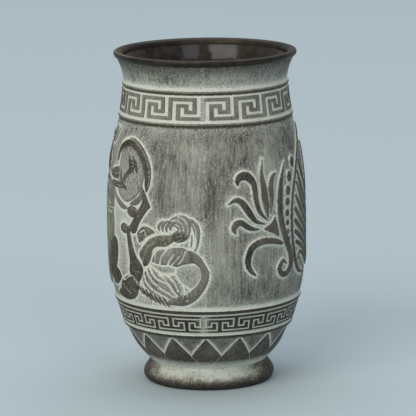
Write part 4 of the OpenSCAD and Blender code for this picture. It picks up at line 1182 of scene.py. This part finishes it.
floorSlab = {
    "profile": [(0, 3), (42.6, 3), (42.9, 3.3), (42.9, 11), (43.8, 21.6), (39.6, 17.1), (35.8, 12.8),
                (31, 10.9), (0, 10.9)],
    "wash": 0.3,
}
floorDisc = turn("floor_slab", floorSlab["profile"], 128)
setAttribute(floorDisc, "wash", np.full(len(floorDisc.data.vertices), floorSlab["wash"]))
finish(floorDisc, groundClay, "grey_clay", "base_floor")
print("walls turned and washed")

studio = {
    "floorSize": 14,
    "paper": "#a5b5bc",
    "air": "#eaedef",
    "airStrength": 0.42,
}

# Matt paper backdrop, rolled out flat, with hardly any sheen
deselectAll()
bpy.ops.mesh.primitive_plane_add(size=studio["floorSize"], location=(0, 0, 0))
studioFloor = bpy.context.active_object
studioFloor.name = "studio_floor"
paper, paperTree, paperShader, _ = newMaterial("pale_blue_matt_paper")
feed(paperTree, paperShader, {"Base Color": srgb(studio["paper"]), "Roughness": 0.95,
                              "Specular IOR Level": 0.1})
studioFloor.data.materials.append(paper)

world = bpy.data.worlds.new("studio_air")
scene.world = world
world.use_nodes = True
air = world.node_tree.nodes["Background"]
air.inputs[0].default_value = srgb(studio["air"])
air.inputs[1].default_value = studio["airStrength"]


def softLight(name, place, size, watts, colour, target=(0, 0, 0.14)):
    data = bpy.data.lights.new(name, "AREA")
    data.shape = "RECTANGLE"
    data.size, data.size_y = size
    data.energy = watts
    data.color = srgb(colour)[:3]
    lamp = bpy.data.objects.new(name, data)
    scene.collection.objects.link(lamp)
    lamp.location = place
    lamp.rotation_euler = (Vector(target) - Vector(place)).to_track_quat("-Z", "Y").to_euler()


softLight("front_left", (-3.3, -5.7, 5.1), (5.5, 4.5), 425, "#fff5e6")
softLight("front_right", (3.0, -6.3, 4.8), (3.2, 4), 85, "#fcfcff")
softLight("overhead", (0, 2.8, 8), (9, 9), 470, "#fdfdff", (0, 1.5, 0))

lens = {
    "away": 2.4058,
    "high": 0.6033,
    "turnDeg": 1.8,
    "aim": 0.14,
    "rollDeg": 0.71,
    "focal": 251.9,
    "sensor": 36,
    "shift": (0.0025, 0.0142),
}
cameraData = bpy.data.cameras.new("photographer")
camera = bpy.data.objects.new("photographer", cameraData)
scene.collection.objects.link(camera)
side = math.radians(lens["turnDeg"])
camera.location = (lens["away"] * math.sin(side), -lens["away"] * math.cos(side), lens["high"])
look = (Vector((0, 0, lens["aim"])) - camera.location).to_track_quat("-Z", "Y")
roll = Matrix.Rotation(math.radians(-lens["rollDeg"]), 3, "Z")
camera.rotation_euler = (look.to_matrix() @ roll).to_euler()
cameraData.sensor_width = lens["sensor"]
cameraData.lens = lens["focal"]
cameraData.shift_x, cameraData.shift_y = lens["shift"]
cameraData.dof.use_dof = False
scene.camera = camera
print("camera set")
